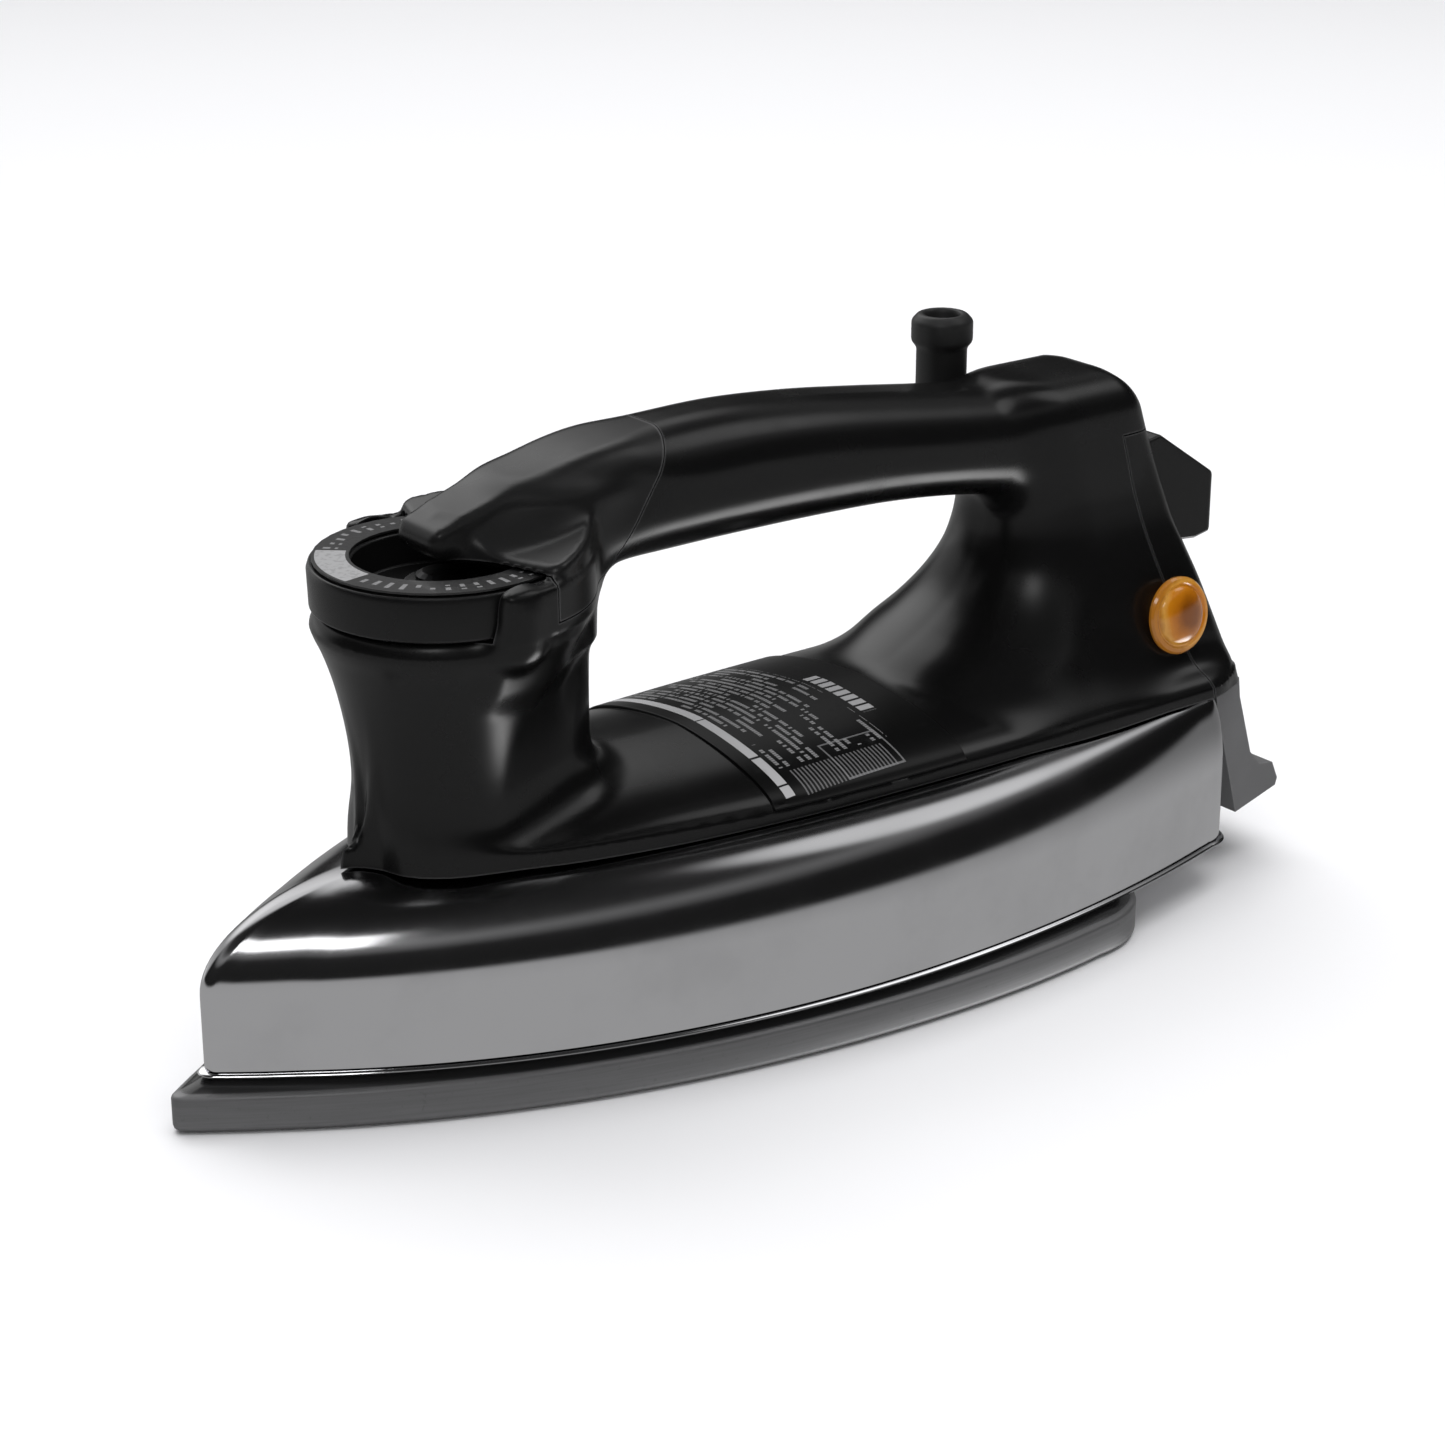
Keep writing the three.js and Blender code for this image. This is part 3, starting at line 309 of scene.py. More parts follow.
def columnField(x, y, z):
    share = (z - baseZ) / (columnTop - baseZ)
    shares = [0, 0.06, 0.13, 0.2, 0.26, 0.34, 0.44, 0.52, 0.62, 0.78, 0.9, 1]
    half = glide(share, shares, [30, 28.2, 26.8, 25.6, 24.3, 22.5, 20, 18.3, 16.8, 15.2, 14.4, 14])
    front = glide(share, shares, [-24, -23, -21, -18, -12.5, -6, -1, 0.8, 1.6, 1.2, 0, -1])
    rear = glide(share, shares, [0.8, 1.8, 2.8, 4.2, 5.2, 6.6, 8.6, 10.4, 12.2, 15.4, 18, 20.5])
    d = roundBoth(np.abs(y) - half, handle["columnX"] + front - x, half * 0.94)
    d = roundBoth(d, x - (baseTail - rear - 1.6), 4.5)
    return np.maximum(roundBoth(d, z - columnTop, 7), baseZ - 2 - z)


def gripField(x, y, z):
    top, under, back = handle["gripTop"], handle["underGrip"], coverTail
    over = dialTop + 0.4
    rows = [
        (dialX - 9, top - 13.2, over, 6.2, 6.9, 1.3),
        (dialX - 2, top - 11.0, over, 6.5, 7.6, 1.3),
        (dialX + 6, top - 8.2, over - 0.8, 6.9, 10, 1.3),
        (dialX + 19, top - 4.5, over - 4, 7.8, 15, 1.8),
        (dialX + 27, top - 2.6, under - 1, 9.2, 15, 3),
        (dialX + 34, top - 1.6, under, 10.8, 14.2, 5),
        (dialX + 44, top - 0.8, under, 12, 13.6, 9),
        (dialX + 64, top - 0.5, under + 0.2, 12.5, 14, 10),
        (back - 90, top - 1.7, under + 0.1, 12.5, 14, 10),
        (back - 72, top - 3.9, under - 0.4, 12.5, 14, 10),
        (back - 56, top - 6.2, under - 2, 12.5, 14, 9.6),
        (back - 40, top - 8.2, under - 5, 12.3, 13.8, 9),
        (back - 24, top - 8.8, under - 9, 12, 13, 8),
    ]
    knots = [row[0] for row in rows]
    upper, lower, topHalf, lowHalf, edge = (glide(x, knots, column) for column in list(zip(*rows))[1:])
    slope = (lowHalf - topHalf) / (upper - lower)
    side = (np.abs(y) + slope * (z - lower) - lowHalf) / np.sqrt(1 + slope ** 2)
    d = roundBoth(side, z - upper, edge)
    d = roundBoth(d, lower - z, np.minimum(lowHalf * 0.8, (upper - lower) * 0.45))
    d = roundBoth(d, (dialX - 5.4) - x, 2.4)
    return roundBoth(d, x - (back - 12), 5)


def elbowField(x, y, z):
    rise = [84, 89, 98.7, 105.7]
    rear = handle["postRear"]
    d = twoRounds(x, y, glide(z, rise, [rear - 24, dialX + 12, dialX + 15, dialX + 22]),
                  glide(z, rise, [14.5, 15.8, 15, 12]),
                  glide(z, rise, [rear - 12.5, rear - 12, rear - 9, rear - 4.5]), 12.6)
    return roundBoth(np.maximum(d, 80 - z), z - 108, 3)


def cheekField(x, y, z):
    # wall round the back of the dial, running down into the post, with a knuckle at each front end
    radius = dialRadius + 1.9 - 0.62 * np.maximum(dialZ - z, 0)
    reach = math.radians(94)
    turn = np.arctan2(np.abs(y), x - dialX)
    out = np.hypot(x - dialX, y)
    ends = np.hypot(x - dialX - radius * math.cos(reach), np.abs(y) - radius * math.sin(reach))
    thick = np.clip(1.9 - 0.17 * (dialZ - z), 0.9, 1.9)
    d = np.where(turn < reach, np.abs(out - radius), ends) - thick
    wall = roundBoth(roundBoth(d, z - dialTop + 0.5, 1.2), dialZ - 13 - z, 2)
    upright = np.clip(z, dialZ - 1, dialTop - 4.4)
    beside = np.abs(y) - dialRadius + 0.2
    knuckle = np.sqrt((x - dialX - 0.8) ** 2 + beside ** 2 + (z - upright) ** 2) - 4.6
    return melt(wall, knuckle, 1.4)


def wingField(x, y, z):
    # hollow flank of the cap that sweeps from the crease of the nose down to the cheek
    across = np.abs(y)
    low = dialTop + 0.4
    top = low + 0.8 + 5.2 * np.exp(-np.maximum(across - 6, 0) / 3.0) + 0.2 * np.maximum(x - dialX - 4, 0)
    ahead = (dialX - 0.6 + 0.31 * across - x) * 0.95
    plan = roundBoth(np.hypot(x - dialX, y) - dialRadius - 3.2, ahead, 3)
    d = roundBoth(plan, (z - top) * 0.75, 1.0)
    return np.maximum(d, low - z)


guardX = (guardLow.x + guardHigh.x) / 2 - noseX
guardY = (guardLow.y + guardHigh.y) / 2
guardZ = guardLow.z + 6.1


def socketField(x, y, z):
    out = np.hypot(x - guardX, y - guardY)
    d = roundBoth(out - 9.3, z - guardZ - 5.5, 1.2)
    return roundBoth(d, guardZ - 10 - z + 0.5 * out, 2)


def outerField(x, y, z):
    d = melt(postField(x, y, z), saddleField(x, y, z), 7)
    d = melt(d, columnField(x, y, z), 9 - 6.5 * smoothStep(baseTail - 45, baseTail - 18, x))
    top = melt(gripField(x, y, z), elbowField(x, y, z), 5)
    top = melt(top, wingField(x, y, z), 2.5)
    top = melt(top, cheekField(x, y, z), 2)
    d = melt(d, top, 6)
    return melt(d, socketField(x, y, z), 3.5)


def netOver(field, low, high, step):
    # one vertex in each cell that the surface crosses, moved onto the surface itself
    axes = [np.arange(a, b + step, step) for a, b in zip(low, high)]
    values = np.empty([len(a) for a in axes], np.float32)
    for i, x in enumerate(axes[0]):
        y, z = np.meshgrid(axes[1], axes[2], indexing="ij")
        values[i] = field(np.full_like(y, x), y, z)
    inside = values < 0
    for _ in range(8):
        # two corners that only touch across a face would pinch the skin, so their face is filled
        for axis in range(3):
            side = np.moveaxis(inside, axis, 0)
            a, b, c, d = side[:, :-1, :-1], side[:, 1:, :-1], side[:, :-1, 1:], side[:, 1:, 1:]
            odd = (a == d) & (b == c) & (a != b)
            for each in (a, b, c, d):
                each |= odd
    values = np.where(inside & (values >= 0), -0.02 * step, values)
    shape = np.array(values.shape) - 1
    corner = [(i, j, k) for i in (0, 1) for j in (0, 1) for k in (0, 1)]
    part = lambda a, c: a[c[0]:c[0] + shape[0], c[1]:c[1] + shape[1], c[2]:c[2] + shape[2]]
    count = sum(part(inside, c).astype(np.int8) for c in corner)
    cells = (count > 0) & (count < 8)
    index = -np.ones(shape, np.int64)
    index[cells] = np.arange(cells.sum())
    where = np.argwhere(cells)
    total = np.zeros((len(where), 3))
    hits = np.zeros(len(where))
    for c in corner:
        for axis in range(3):
            if c[axis]:
                continue
            d = tuple(1 if a == axis else v for a, v in enumerate(c))
            va = values[tuple((where + c).T)].astype(float)
            vb = values[tuple((where + d).T)].astype(float)
            cross = (va < 0) != (vb < 0)
            t = np.where(cross, va / np.where(cross, va - vb, 1), 0)
            place = where + np.array(c) + np.outer(t, np.array(d) - np.array(c))
            total[cross] += place[cross]
            hits[cross] += 1
    points = total / hits[:, None] * step + np.array([a[0] for a in axes])
    for _ in range(3):
        value, slope = slopeOf(field, points)
        points -= np.clip(value, -0.6 * step, 0.6 * step)[:, None] * slope
    faces = []
    for axis in range(3):
        u, v = [(1, 2), (2, 0), (0, 1)][axis]
        first = inside[tuple(slice(None, -1) if a == axis else slice(None) for a in range(3))]
        second = inside[tuple(slice(1, None) if a == axis else slice(None) for a in range(3))]
        at = np.argwhere(first != second)
        at = at[(at[:, u] > 0) & (at[:, v] > 0) & (at[:, u] < shape[u]) & (at[:, v] < shape[v])]
        ring = []
        for du, dv in ((1, 1), (0, 1), (0, 0), (1, 0)):
            cell = at.copy()
            cell[:, u] -= du
            cell[:, v] -= dv
            ring.append(index[tuple(cell.T)])
        quads = np.stack(ring, axis=1)
        flip = ~first[tuple(at.T)]
        quads[flip] = quads[flip][:, ::-1]
        faces.append(quads)
    return points, np.concatenate(faces)


def slopeOf(field, points):
    x, y, z = points.T
    h = 0.05
    value = field(x, y, z)
    slope = np.stack([
        field(x + h, y, z) - field(x - h, y, z),
        field(x, y + h, z) - field(x, y - h, z),
        field(x, y, z + h) - field(x, y, z - h)], axis=1) / (2 * h)
    length = np.maximum((slope ** 2).sum(axis=1), 0.15)
    return value, slope / length[:, None]


def softSolid(name, field, low, high, step):
    # the grid is nudged until every edge of the skin has just two faces
    for nudge in (0, 0.17, 0.31, 0.43, 0.61, 0.77):
        start = [a - nudge * step for a in low]
        points, faces = netOver(field, start, high, step)
        edges = np.sort(np.concatenate([faces[:, [i, (i + 1) % 4]] for i in range(4)]), axis=1)
        shared = np.unique(edges[:, 0] * len(points) + edges[:, 1], return_counts=True)[1]
        if shared.min() == 2 and shared.max() == 2:
            break
        print(name, "nudged", int((shared != 2).sum()))
    return outward(meshOf(name, points, faces))


# handle: one soft form, divided at its seams
seamGap = 0.3


def capRegion(name, shift):
    over = dialTop + 0.2 - shift
    low = baseZ + handle["postHeight"] + 2 - shift
    step = dialX + 7 - shift
    foot = handle["postRear"] + 1.5 + shift
    top = handle["gripTop"]
    behind = handle["postRear"] + 17 + shift
    outline = [(dialX - 40, over), (step, over), (step, low), (foot - 1.5, low),
               (foot, handle["underGrip"] + 4), (behind, top + 1), (behind, top + 20),
               (dialX - 40, top + 20)]
    return prism(name, outline, 60)


def rearRegion(name, shift):
    top = handle["gripTop"] - 19.5 + shift
    behind = baseTail + 20
    outline = [(coverTail - 17.5 - shift, top), (coverTail - 5 - shift, baseZ - 2),
               (behind, baseZ - 2), (behind, top)]
    return prism(name, outline, 60)


def rod(name, radius, x, y, low, high, segments=64):
    return turnedPiece(name, [(0, low), (radius, low), (radius, high), (0, high)], (x, y, 0), segments)


def sideRod(name, radius, x, z, near, far):
    profile = [(0, -far), (radius, -far), (radius, -near), (0, -near)]
    return turnedPiece(name, profile, (x, 0, z), 64, axis="-y")


lens = {"lean": math.radians(9), "seat": 25.6, "shift": 1.0}
lensX = (lensLow.x + lensHigh.x) / 2 - noseX + lens["shift"]
lensZ = (lensLow.z + lensHigh.z) / 2
lensRadius = (lensHigh.z - lensLow.z) / 2
capScrewX = handle["postRear"] + 9
rearScrewZ = sum(c.z for c in corners("rear_cover_screw")) / 2
rearScrewX = corners("rear_cover_screw")[1].x - noseX


def backRod(name, radius, near, far, z):
    turn = turnedPiece(name, [(0, near), (radius, near), (radius, far), (0, far)], (0, 0, 0), 40)
    turn.data.transform(Matrix.Translation((-noseX * mm, 0, 0)))
    turn.data.transform(Matrix.Rotation(math.pi / 2, 4, "Y"))
    turn.data.transform(Matrix.Translation((noseX * mm, 0, z * mm)))
    return turn


def hollowField(x, y, z):
    d = columnField(x, y, z) + handle["wall"]
    d = np.maximum(d, handle["columnX"] + 4.5 - x)
    return np.maximum(np.maximum(d, z - (handle["gripTop"] - 22)), baseZ + 4.2 - z)


def guardBall(name, radius):
    turns = np.linspace(0, math.pi, 17)
    profile = [(radius * math.sin(t), guardZ - radius * math.cos(t)) for t in turns]
    profile[0], profile[-1] = (0, guardZ - radius), (0, guardZ + radius)
    return turnedPiece(name, profile, (guardX, guardY, 0), 48)


# bores and seats cut into the handle, as radii
bores = {
    "dialGap": 0.6,
    "lensGap": 1.2,
    "ball": 7.3,
    "ballMouth": 5.65,
    "mouthLean": math.radians(10),
    "spindle": 3.6,
    "stud": 3.0,
    "leads": 6.0,
    "screwSeat": 3.4,
}


def makeHandle():
    print("making the handle")
    solid = softSolid("handleSolid", outerField, (31, -38, baseZ - 7), (246, 38, 119), handle["voxel"])
    rim = handle["gripTop"] + 2
    throat, seat = bores["ballMouth"], bores["screwSeat"]
    mouth = throat + math.tan(bores["mouthLean"]) * (rim - guardZ)
    under = [(20, baseZ - 12), (260, baseZ - 12), (260, baseZ), (20, baseZ)]
    cutters = [
        prism("underside", under, 60),
        rod("dialWell", dialRadius + bores["dialGap"], dialX, 0, dialZ - 0.3, dialTop + 0.45, 128),
        softSolid("hollow", hollowField, (188, -34, baseZ), (242, 34, 98), 1.6),
        sideRod("lensBore", lensRadius - bores["lensGap"], lensX, lensZ, 0, 40),
        guardBall("socketBall", bores["ball"]),
        turnedPiece("socketMouth", [(0, guardZ), (throat, guardZ), (mouth, rim), (0, rim)],
                    (guardX, guardY, 0), 48),
        rod("spindleBore", bores["spindle"], dialX, 0, baseZ - 1, dialZ + 1, 32),
        rod("studBore", bores["stud"], dialX + 16, 0, baseZ - 1, dialZ, 32),
        rod("leadBore", bores["leads"], coverTail - 19, 0, baseZ - 1, baseZ + 6, 32),
        rod("capScrewSeat", seat, capScrewX, 0, handle["underGrip"] - 6, handle["underGrip"] + 3.5, 40),
        backRod("rearScrewSeat", seat, rearScrewX - 2, rearScrewX + 12, rearScrewZ),
    ]
    carve(solid, cutters)
    capOuter, rearOuter = capRegion("capOuter", 0), rearRegion("rearOuter", seamGap)
    capInner, rearInner = capRegion("capInner", -seamGap), rearRegion("rearInner", 0)
    cap, rear = copied(solid, "capMoulding"), copied(solid, "rearMoulding")
    solid.name = "handleMoulding"
    carve(solid, [capOuter, rearOuter])
    carve(cap, [capInner], "INTERSECT")
    carve(rear, [rearInner], "INTERSECT")
    discard(*cutters, capOuter, rearOuter, capInner, rearInner)
    for piece, node in ((solid, "handle_body"), (cap, "front_cap"), (rear, "rear_cover")):
        crisp(piece, 40)
        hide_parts(node)
        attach(piece, "iron")
    return solid, cap, rear


# heel block that stands out behind the rear cover
rest = {"reach": 15.5, "drop": 22.5, "half": 11.5, "edge": 0.7}


def makeRestBlock():
    back, top = coverTail + rest["reach"], handle["gripTop"] - rest["drop"]
    outline = [(coverTail - 10, top - 1.4), (coverTail - 3, top), (back, top - 12.5), (back + 1.5, top - 23),
               (back - 7, top - 24.6), (coverTail + 2, top - 24), (coverTail - 6, top - 23)]
    block = prism("restBlock", outline, rest["half"])
    wedges = []
    for side in (-1, 1):
        wedge = prism("wedge", [(-9, -40), (9, -40), (9, 40), (-9, 40)], 9)
        wedge.data.transform(Matrix.Translation((-noseX * mm, 0, 0)))
        wedge.data.transform(Matrix.Rotation(math.pi / 4, 4, "Z"))
        place = Vector((back + 3.6 + noseX, side * 17.6, top - 12)) * mm
        wedge.data.transform(Matrix.Translation(place))
        wedges.append(wedge)
    carve(block, wedges)
    discard(*wedges)
    bevelled(block, rest["edge"], 3, 20)
    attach(block, "iron")
    return block


# outlines of sole and cover
def bezier(points, count):
    points = np.array(points, float)
    t = np.linspace(0, 1, count)[:, None]
    if len(points) == 3:
        return (1 - t) ** 2 * points[0] + 2 * t * (1 - t) * points[1] + t * t * points[2]
    return ((1 - t) ** 3 * points[0] + 3 * t * (1 - t) ** 2 * points[1]
            + 3 * t * t * (1 - t) * points[2] + t ** 3 * points[3])


def ironOutline(nose, wide, half, hip, hipHalf, tail, tailHalf, tip=2.5):
    bow = bezier([(nose, 0), (nose + 0.245 * (wide - nose), 0.633 * half),
                  (nose + 0.61 * (wide - nose), half), (wide, half)], 600)
    flank = bezier([(wide, half), ((wide + hip) / 2, half), (hip, hipHalf)], 22)
    bend = hipHalf - 0.5 * (half - hipHalf) * (tail - hip) / (hip - wide)
    corner = bezier([(hip, hipHalf), (tail, bend), (tail, tailHalf)], 26)
    # the nose is rounded: points near the tip move onto a circle that touches both flanks
    lean = math.atan2(0.633 * half, 0.245 * (wide - nose))
    centre = nose + tip / math.sin(lean)
    reach = centre - tip * math.sin(lean)
    bow = bow[bow[:, 0] > reach + 0.4]
    bow = bow[np.linspace(0, len(bow) - 1, 56).astype(int)]
    side = np.concatenate([bow[:-1], flank[:-1], corner])
    turns = np.linspace(0, math.pi / 2 - lean, 9)
    arc = [(centre - tip * math.cos(a), tip * math.sin(a)) for a in turns]
    side = np.concatenate([arc, side])
    side[:, 0] -= (centre - tip - nose) * np.clip(1 - (side[:, 0] - nose) / 14, 0, 1)
    tailRow = [(tail, y) for y in np.linspace(tailHalf, -tailHalf, 18)[1:-1]]
    return np.concatenate([side, tailRow, side[1:][::-1] * (1, -1)])


sole = {
    "side": 7.3,
    "ledge": 9.2,
    "ledgeWidth": 5.0,
    "island": 12.0,
    "halfWidth": soleHigh.y,
}


def soleOutline(inset):
    half = sole["halfWidth"]
    return ironOutline(1.6 * inset, soleLength * 0.75, half - inset, soleLength - 21 - 0.5 * inset,
                       half - 2.1 - inset, soleLength - 0.45 * inset, half * 0.41 - 0.3 * inset, 2)


def atHeight(outline, z):
    return [(x, y, z) for x, y in outline]


def makeSole():
    print("making the sole")
    levels = [(2.6, 0), (1.2, 0.12), (0.5, 0.5), (0.12, 1.0), (0, 1.7), (0, sole["side"] - 0.5),
              (0.12, sole["side"] - 0.15), (0.45, sole["side"] + 0.12), (1.1, sole["side"] + 0.3),
              (2.6, sole["side"] + 0.9), (sole["ledgeWidth"] - 0.6, sole["ledge"] - 0.15),
              (sole["ledgeWidth"] + 0.4, sole["ledge"]), (9, sole["ledge"]), (9, sole["island"]),
              (14, sole["island"])]
    piece = lofted("solePlate", [atHeight(soleOutline(inset), z) for inset, z in levels])
    crisp(piece, 50)
    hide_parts("soleplate")
    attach(piece, "iron")
    return piece


cover = {
    "foot": coverLow.z,
    "top": coverHigh.z,
    "wall": 1.4,
    "halfWidth": coverHigh.y,
    "shoulder": 17.0,
    "noseSweep": 34.0,
    "sideSweep": 13.0,
    "tailSweep": 3.5,
}


def coverOutline(grow, turn=0.0):
    sweep = 1 - math.cos(turn)
    half = cover["halfWidth"]
    tail = cover["tailSweep"] * sweep
    return ironOutline(coverNose - 1.5 * grow + cover["noseSweep"] * sweep, soleLength * 0.7,
                       half + grow - cover["sideSweep"] * sweep, coverTail - 7 + 0.3 * grow,
                       half - 11 + grow - tail, coverTail + grow - tail, half - 19 + 0.4 * grow - tail, 3)


def coverSkin(name, grow, top, foot):
    wallTop = top - cover["shoulder"]
    rings = [atHeight(coverOutline(grow), z) for z in np.linspace(foot, wallTop, 6)]
    for turn in np.linspace(0, math.pi / 2, 22)[1:]:
        rings.append(atHeight(coverOutline(grow, turn), wallTop + cover["shoulder"] * math.sin(turn)))
    last = np.array(rings[-1])
    middle = np.array([soleLength * 0.55, 0, top])
    for share in (0.97, 0.9, 0.7, 0.4):
        rings.append([tuple(p) for p in middle + (last - middle) * share])
    return lofted(name, rings)


def makeCover():
    print("making the cover")
    shell = coverSkin("coverShell", 0, cover["top"], cover["foot"])
    inside = coverSkin("coverInside", -cover["wall"], cover["top"] - cover["wall"], cover["foot"] - 4)
    places = ((dialX, 4.5), (coverTail - 19, 6.5), (dialX + 16, 3), (soleLength - 7.5, 3))
    holes = [rod("hole", radius, x, 0, cover["top"] - 4, cover["top"] + 1, 40) for x, radius in places]
    carve(shell, [inside] + holes)
    discard(inside, *holes)
    crisp(shell, 40)
    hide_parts("cover_shell")
    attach(shell, "iron")
    rim = lofted("rimPlate", [atHeight(coverOutline(g), z) for g, z in
                              ((0.4, 9.5), (0.8, 9.7), (0.95, 9.95), (0.8, 10.2), (0.4, 10.4))])
    opening = lofted("opening", [atHeight(soleOutline(8.5), z) for z in (8, 12)])
    carve(rim, [opening])
    discard(opening)
    crisp(rim, 45)
    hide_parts("rim_plate")
    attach(rim, "iron")
    return shell, rim


# dial
dial = {"wall": 8.0, "floor": 2.6, "hub": 7.0, "bore": 3.3, "edge": 0.35}


def makeDial():
    print("making the dial")
    inner, bore, hub = dialRadius - dial["wall"], dial["bore"], dial["hub"]
    top, floor = dialTop - 0.9, dialZ + dial["floor"]
    profile = [(bore, dialZ), (dialRadius - 0.9, dialZ), (dialRadius - 0.2, dialZ + 0.5),
               (dialRadius, top - 1.2), (dialRadius - 0.4, top), (dialRadius - 1.6, top),
               (dialRadius - 1.9, top - 0.3), (inner + 0.9, top - 0.3), (inner + 0.5, top),
               (inner, top - 0.2), (inner - 1.2, floor),
               (hub, floor), (hub - 0.3, floor + 1.6), (bore, floor + 1.6), (bore, dialZ)]
    ring = turnedPiece("dialKnob", profile, (dialX, 0, 0), 144)
    bevelled(ring, dial["edge"], 3, 25)
    crisp(ring, 50)
    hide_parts("dial_ring")
    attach(ring, "dial")
    return ring


# label over the saddle
label = {"start": 112.0, "end": 157.5, "thickness": 0.45, "lift": 0.35}


def onSaddle(x, turn, lift):
    # walks outwards from inside the saddle until the handle's skin is "lift" behind it
    half = baseHalf(x) - 1.2
    points = np.stack([x, -half * np.cos(turn), baseZ + 1.5 + 3 * np.sin(turn)], axis=1)
    aim = np.stack([0 * x, -np.cos(turn) * 0.55, 0.2 + np.sin(turn)], axis=1)
    aim /= np.linalg.norm(aim, axis=1)[:, None]
    for _ in range(14):
        points += aim * np.clip(lift - outerField(*points.T), -3, 3)[:, None]
    return points


def makeLabel():
    print("making the label")
    rows = np.linspace(label["start"], label["end"], 36)
    turns = np.linspace(0.12, math.pi - 0.12, 56)
    x, turn = np.meshgrid(rows, turns, indexing="ij")
    points = onSaddle(x.ravel(), turn.ravel(), label["lift"])
    faces = quadStrip(len(rows), len(turns), closed=False)
    piece = meshOf("labelPlate", points, faces)
    thick = piece.modifiers.new("thickness", "SOLIDIFY")
    thick.thickness = label["thickness"] * mm
    thick.offset = 1
    applied(piece)
    outward(piece)
    bevelled(piece, 0.15, 2, 40)
    crisp(piece, 50)
    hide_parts("rating_plate")
    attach(piece, "iron")
    return piece


# pilot lens, leaning with the flank that it sits on
def makeLens():
    print("making the lens")
    edge = lensRadius
    profile = [(0, -6), (5.6, -6), (5.6, -0.2), (edge - 0.4, 0), (edge, 0.5), (edge, 1.1),
               (edge - 0.4, 1.6), (edge - 1.2, 1.75), (edge - 1.6, 1.5)]
    for turn in np.linspace(0.12, math.pi / 2, 12):
        profile.append(((lensRadius - 1.8) * math.cos(turn), 1.3 + 2.1 * math.sin(turn)))
    profile[-1] = (0, 3.4)
    piece = turnedPiece("pilotLens", profile, (0, 0, 0), 96, axis="-y")
    piece.data.transform(Matrix.Translation((-noseX * mm, 0, 0)))
    piece.data.transform(Matrix.Rotation(-lens["lean"], 4, "X"))
    piece.data.transform(Matrix.Translation(((lensX + noseX) * mm, -lens["seat"] * mm, lensZ * mm)))
    crisp(piece, 38)
    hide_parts("pilot_lens")
    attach(piece, "iron")
    return piece


# cord guard
guard = {"radius": 5.2, "ball": 6.9, "bore": 3.4, "lip": 1.1}


def makeGuard():
    print("making the guard")
    top, radius, ball, bore = guardHigh.z, guard["radius"], guard["ball"], guard["bore"]
    lip = radius + guard["lip"]
    turns = np.linspace(math.radians(32), math.radians(128), 14)
    swell = [(ball * math.sin(t), guardZ - ball * math.cos(t)) for t in turns]
    neck = rounded([(radius, guardZ + 5.6), (radius, top - 7), (lip, top - 5.6), (lip, top - 1.4),
                    (radius - 0.2, top), (bore + 0.4, top), (bore, top - 0.9)], 0.6)
    profile = swell + neck + [(bore, guardZ - 5.8), swell[0]]
    piece = turnedPiece("cordGuard", profile, (guardX, guardY, 0), 72)
    crisp(piece, 45)
    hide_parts("cord_guard")
    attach(piece, "guard")
    return piece


handlePiece, capPiece, rearPiece = makeHandle()
restBlock = makeRestBlock()
solePiece = makeSole()
coverPiece, rimPiece = makeCover()
dialPiece = makeDial()
labelPiece = makeLabel()
lensPiece = makeLens()
guardPiece = makeGuard()
bevelled(nodes["heel_foot"], 0.8, 3, 25)


# finishes
class Wire:
    # a socket's value, so that sums can be written as sums
    def __init__(self, finish, socket):
        self.finish = finish
        self.socket = socket

    def maths(self, operation, first, second=0.0):
        return self.finish.add("ShaderNodeMath", {"operation": operation}, {0: first, 1: second})

    def __add__(self, other):
        return self.maths("ADD", self, other)

    __radd__ = __add__

    def __sub__(self, other):
        return self.maths("SUBTRACT", self, other)

    def __rsub__(self, other):
        return self.maths("SUBTRACT", other, self)

    def __mul__(self, other):
        return self.maths("MULTIPLY", self, other)

    __rmul__ = __mul__

    def over(self, limit):
        return self.maths("GREATER_THAN", self, limit)

    def under(self, limit):
        return self.maths("LESS_THAN", self, limit)

    def modulo(self, size):
        return self.maths("FLOORED_MODULO", self, size)

    def root(self):
        return self.maths("SQRT", self)

    def whole(self):
        return self.maths("FLOOR", self)


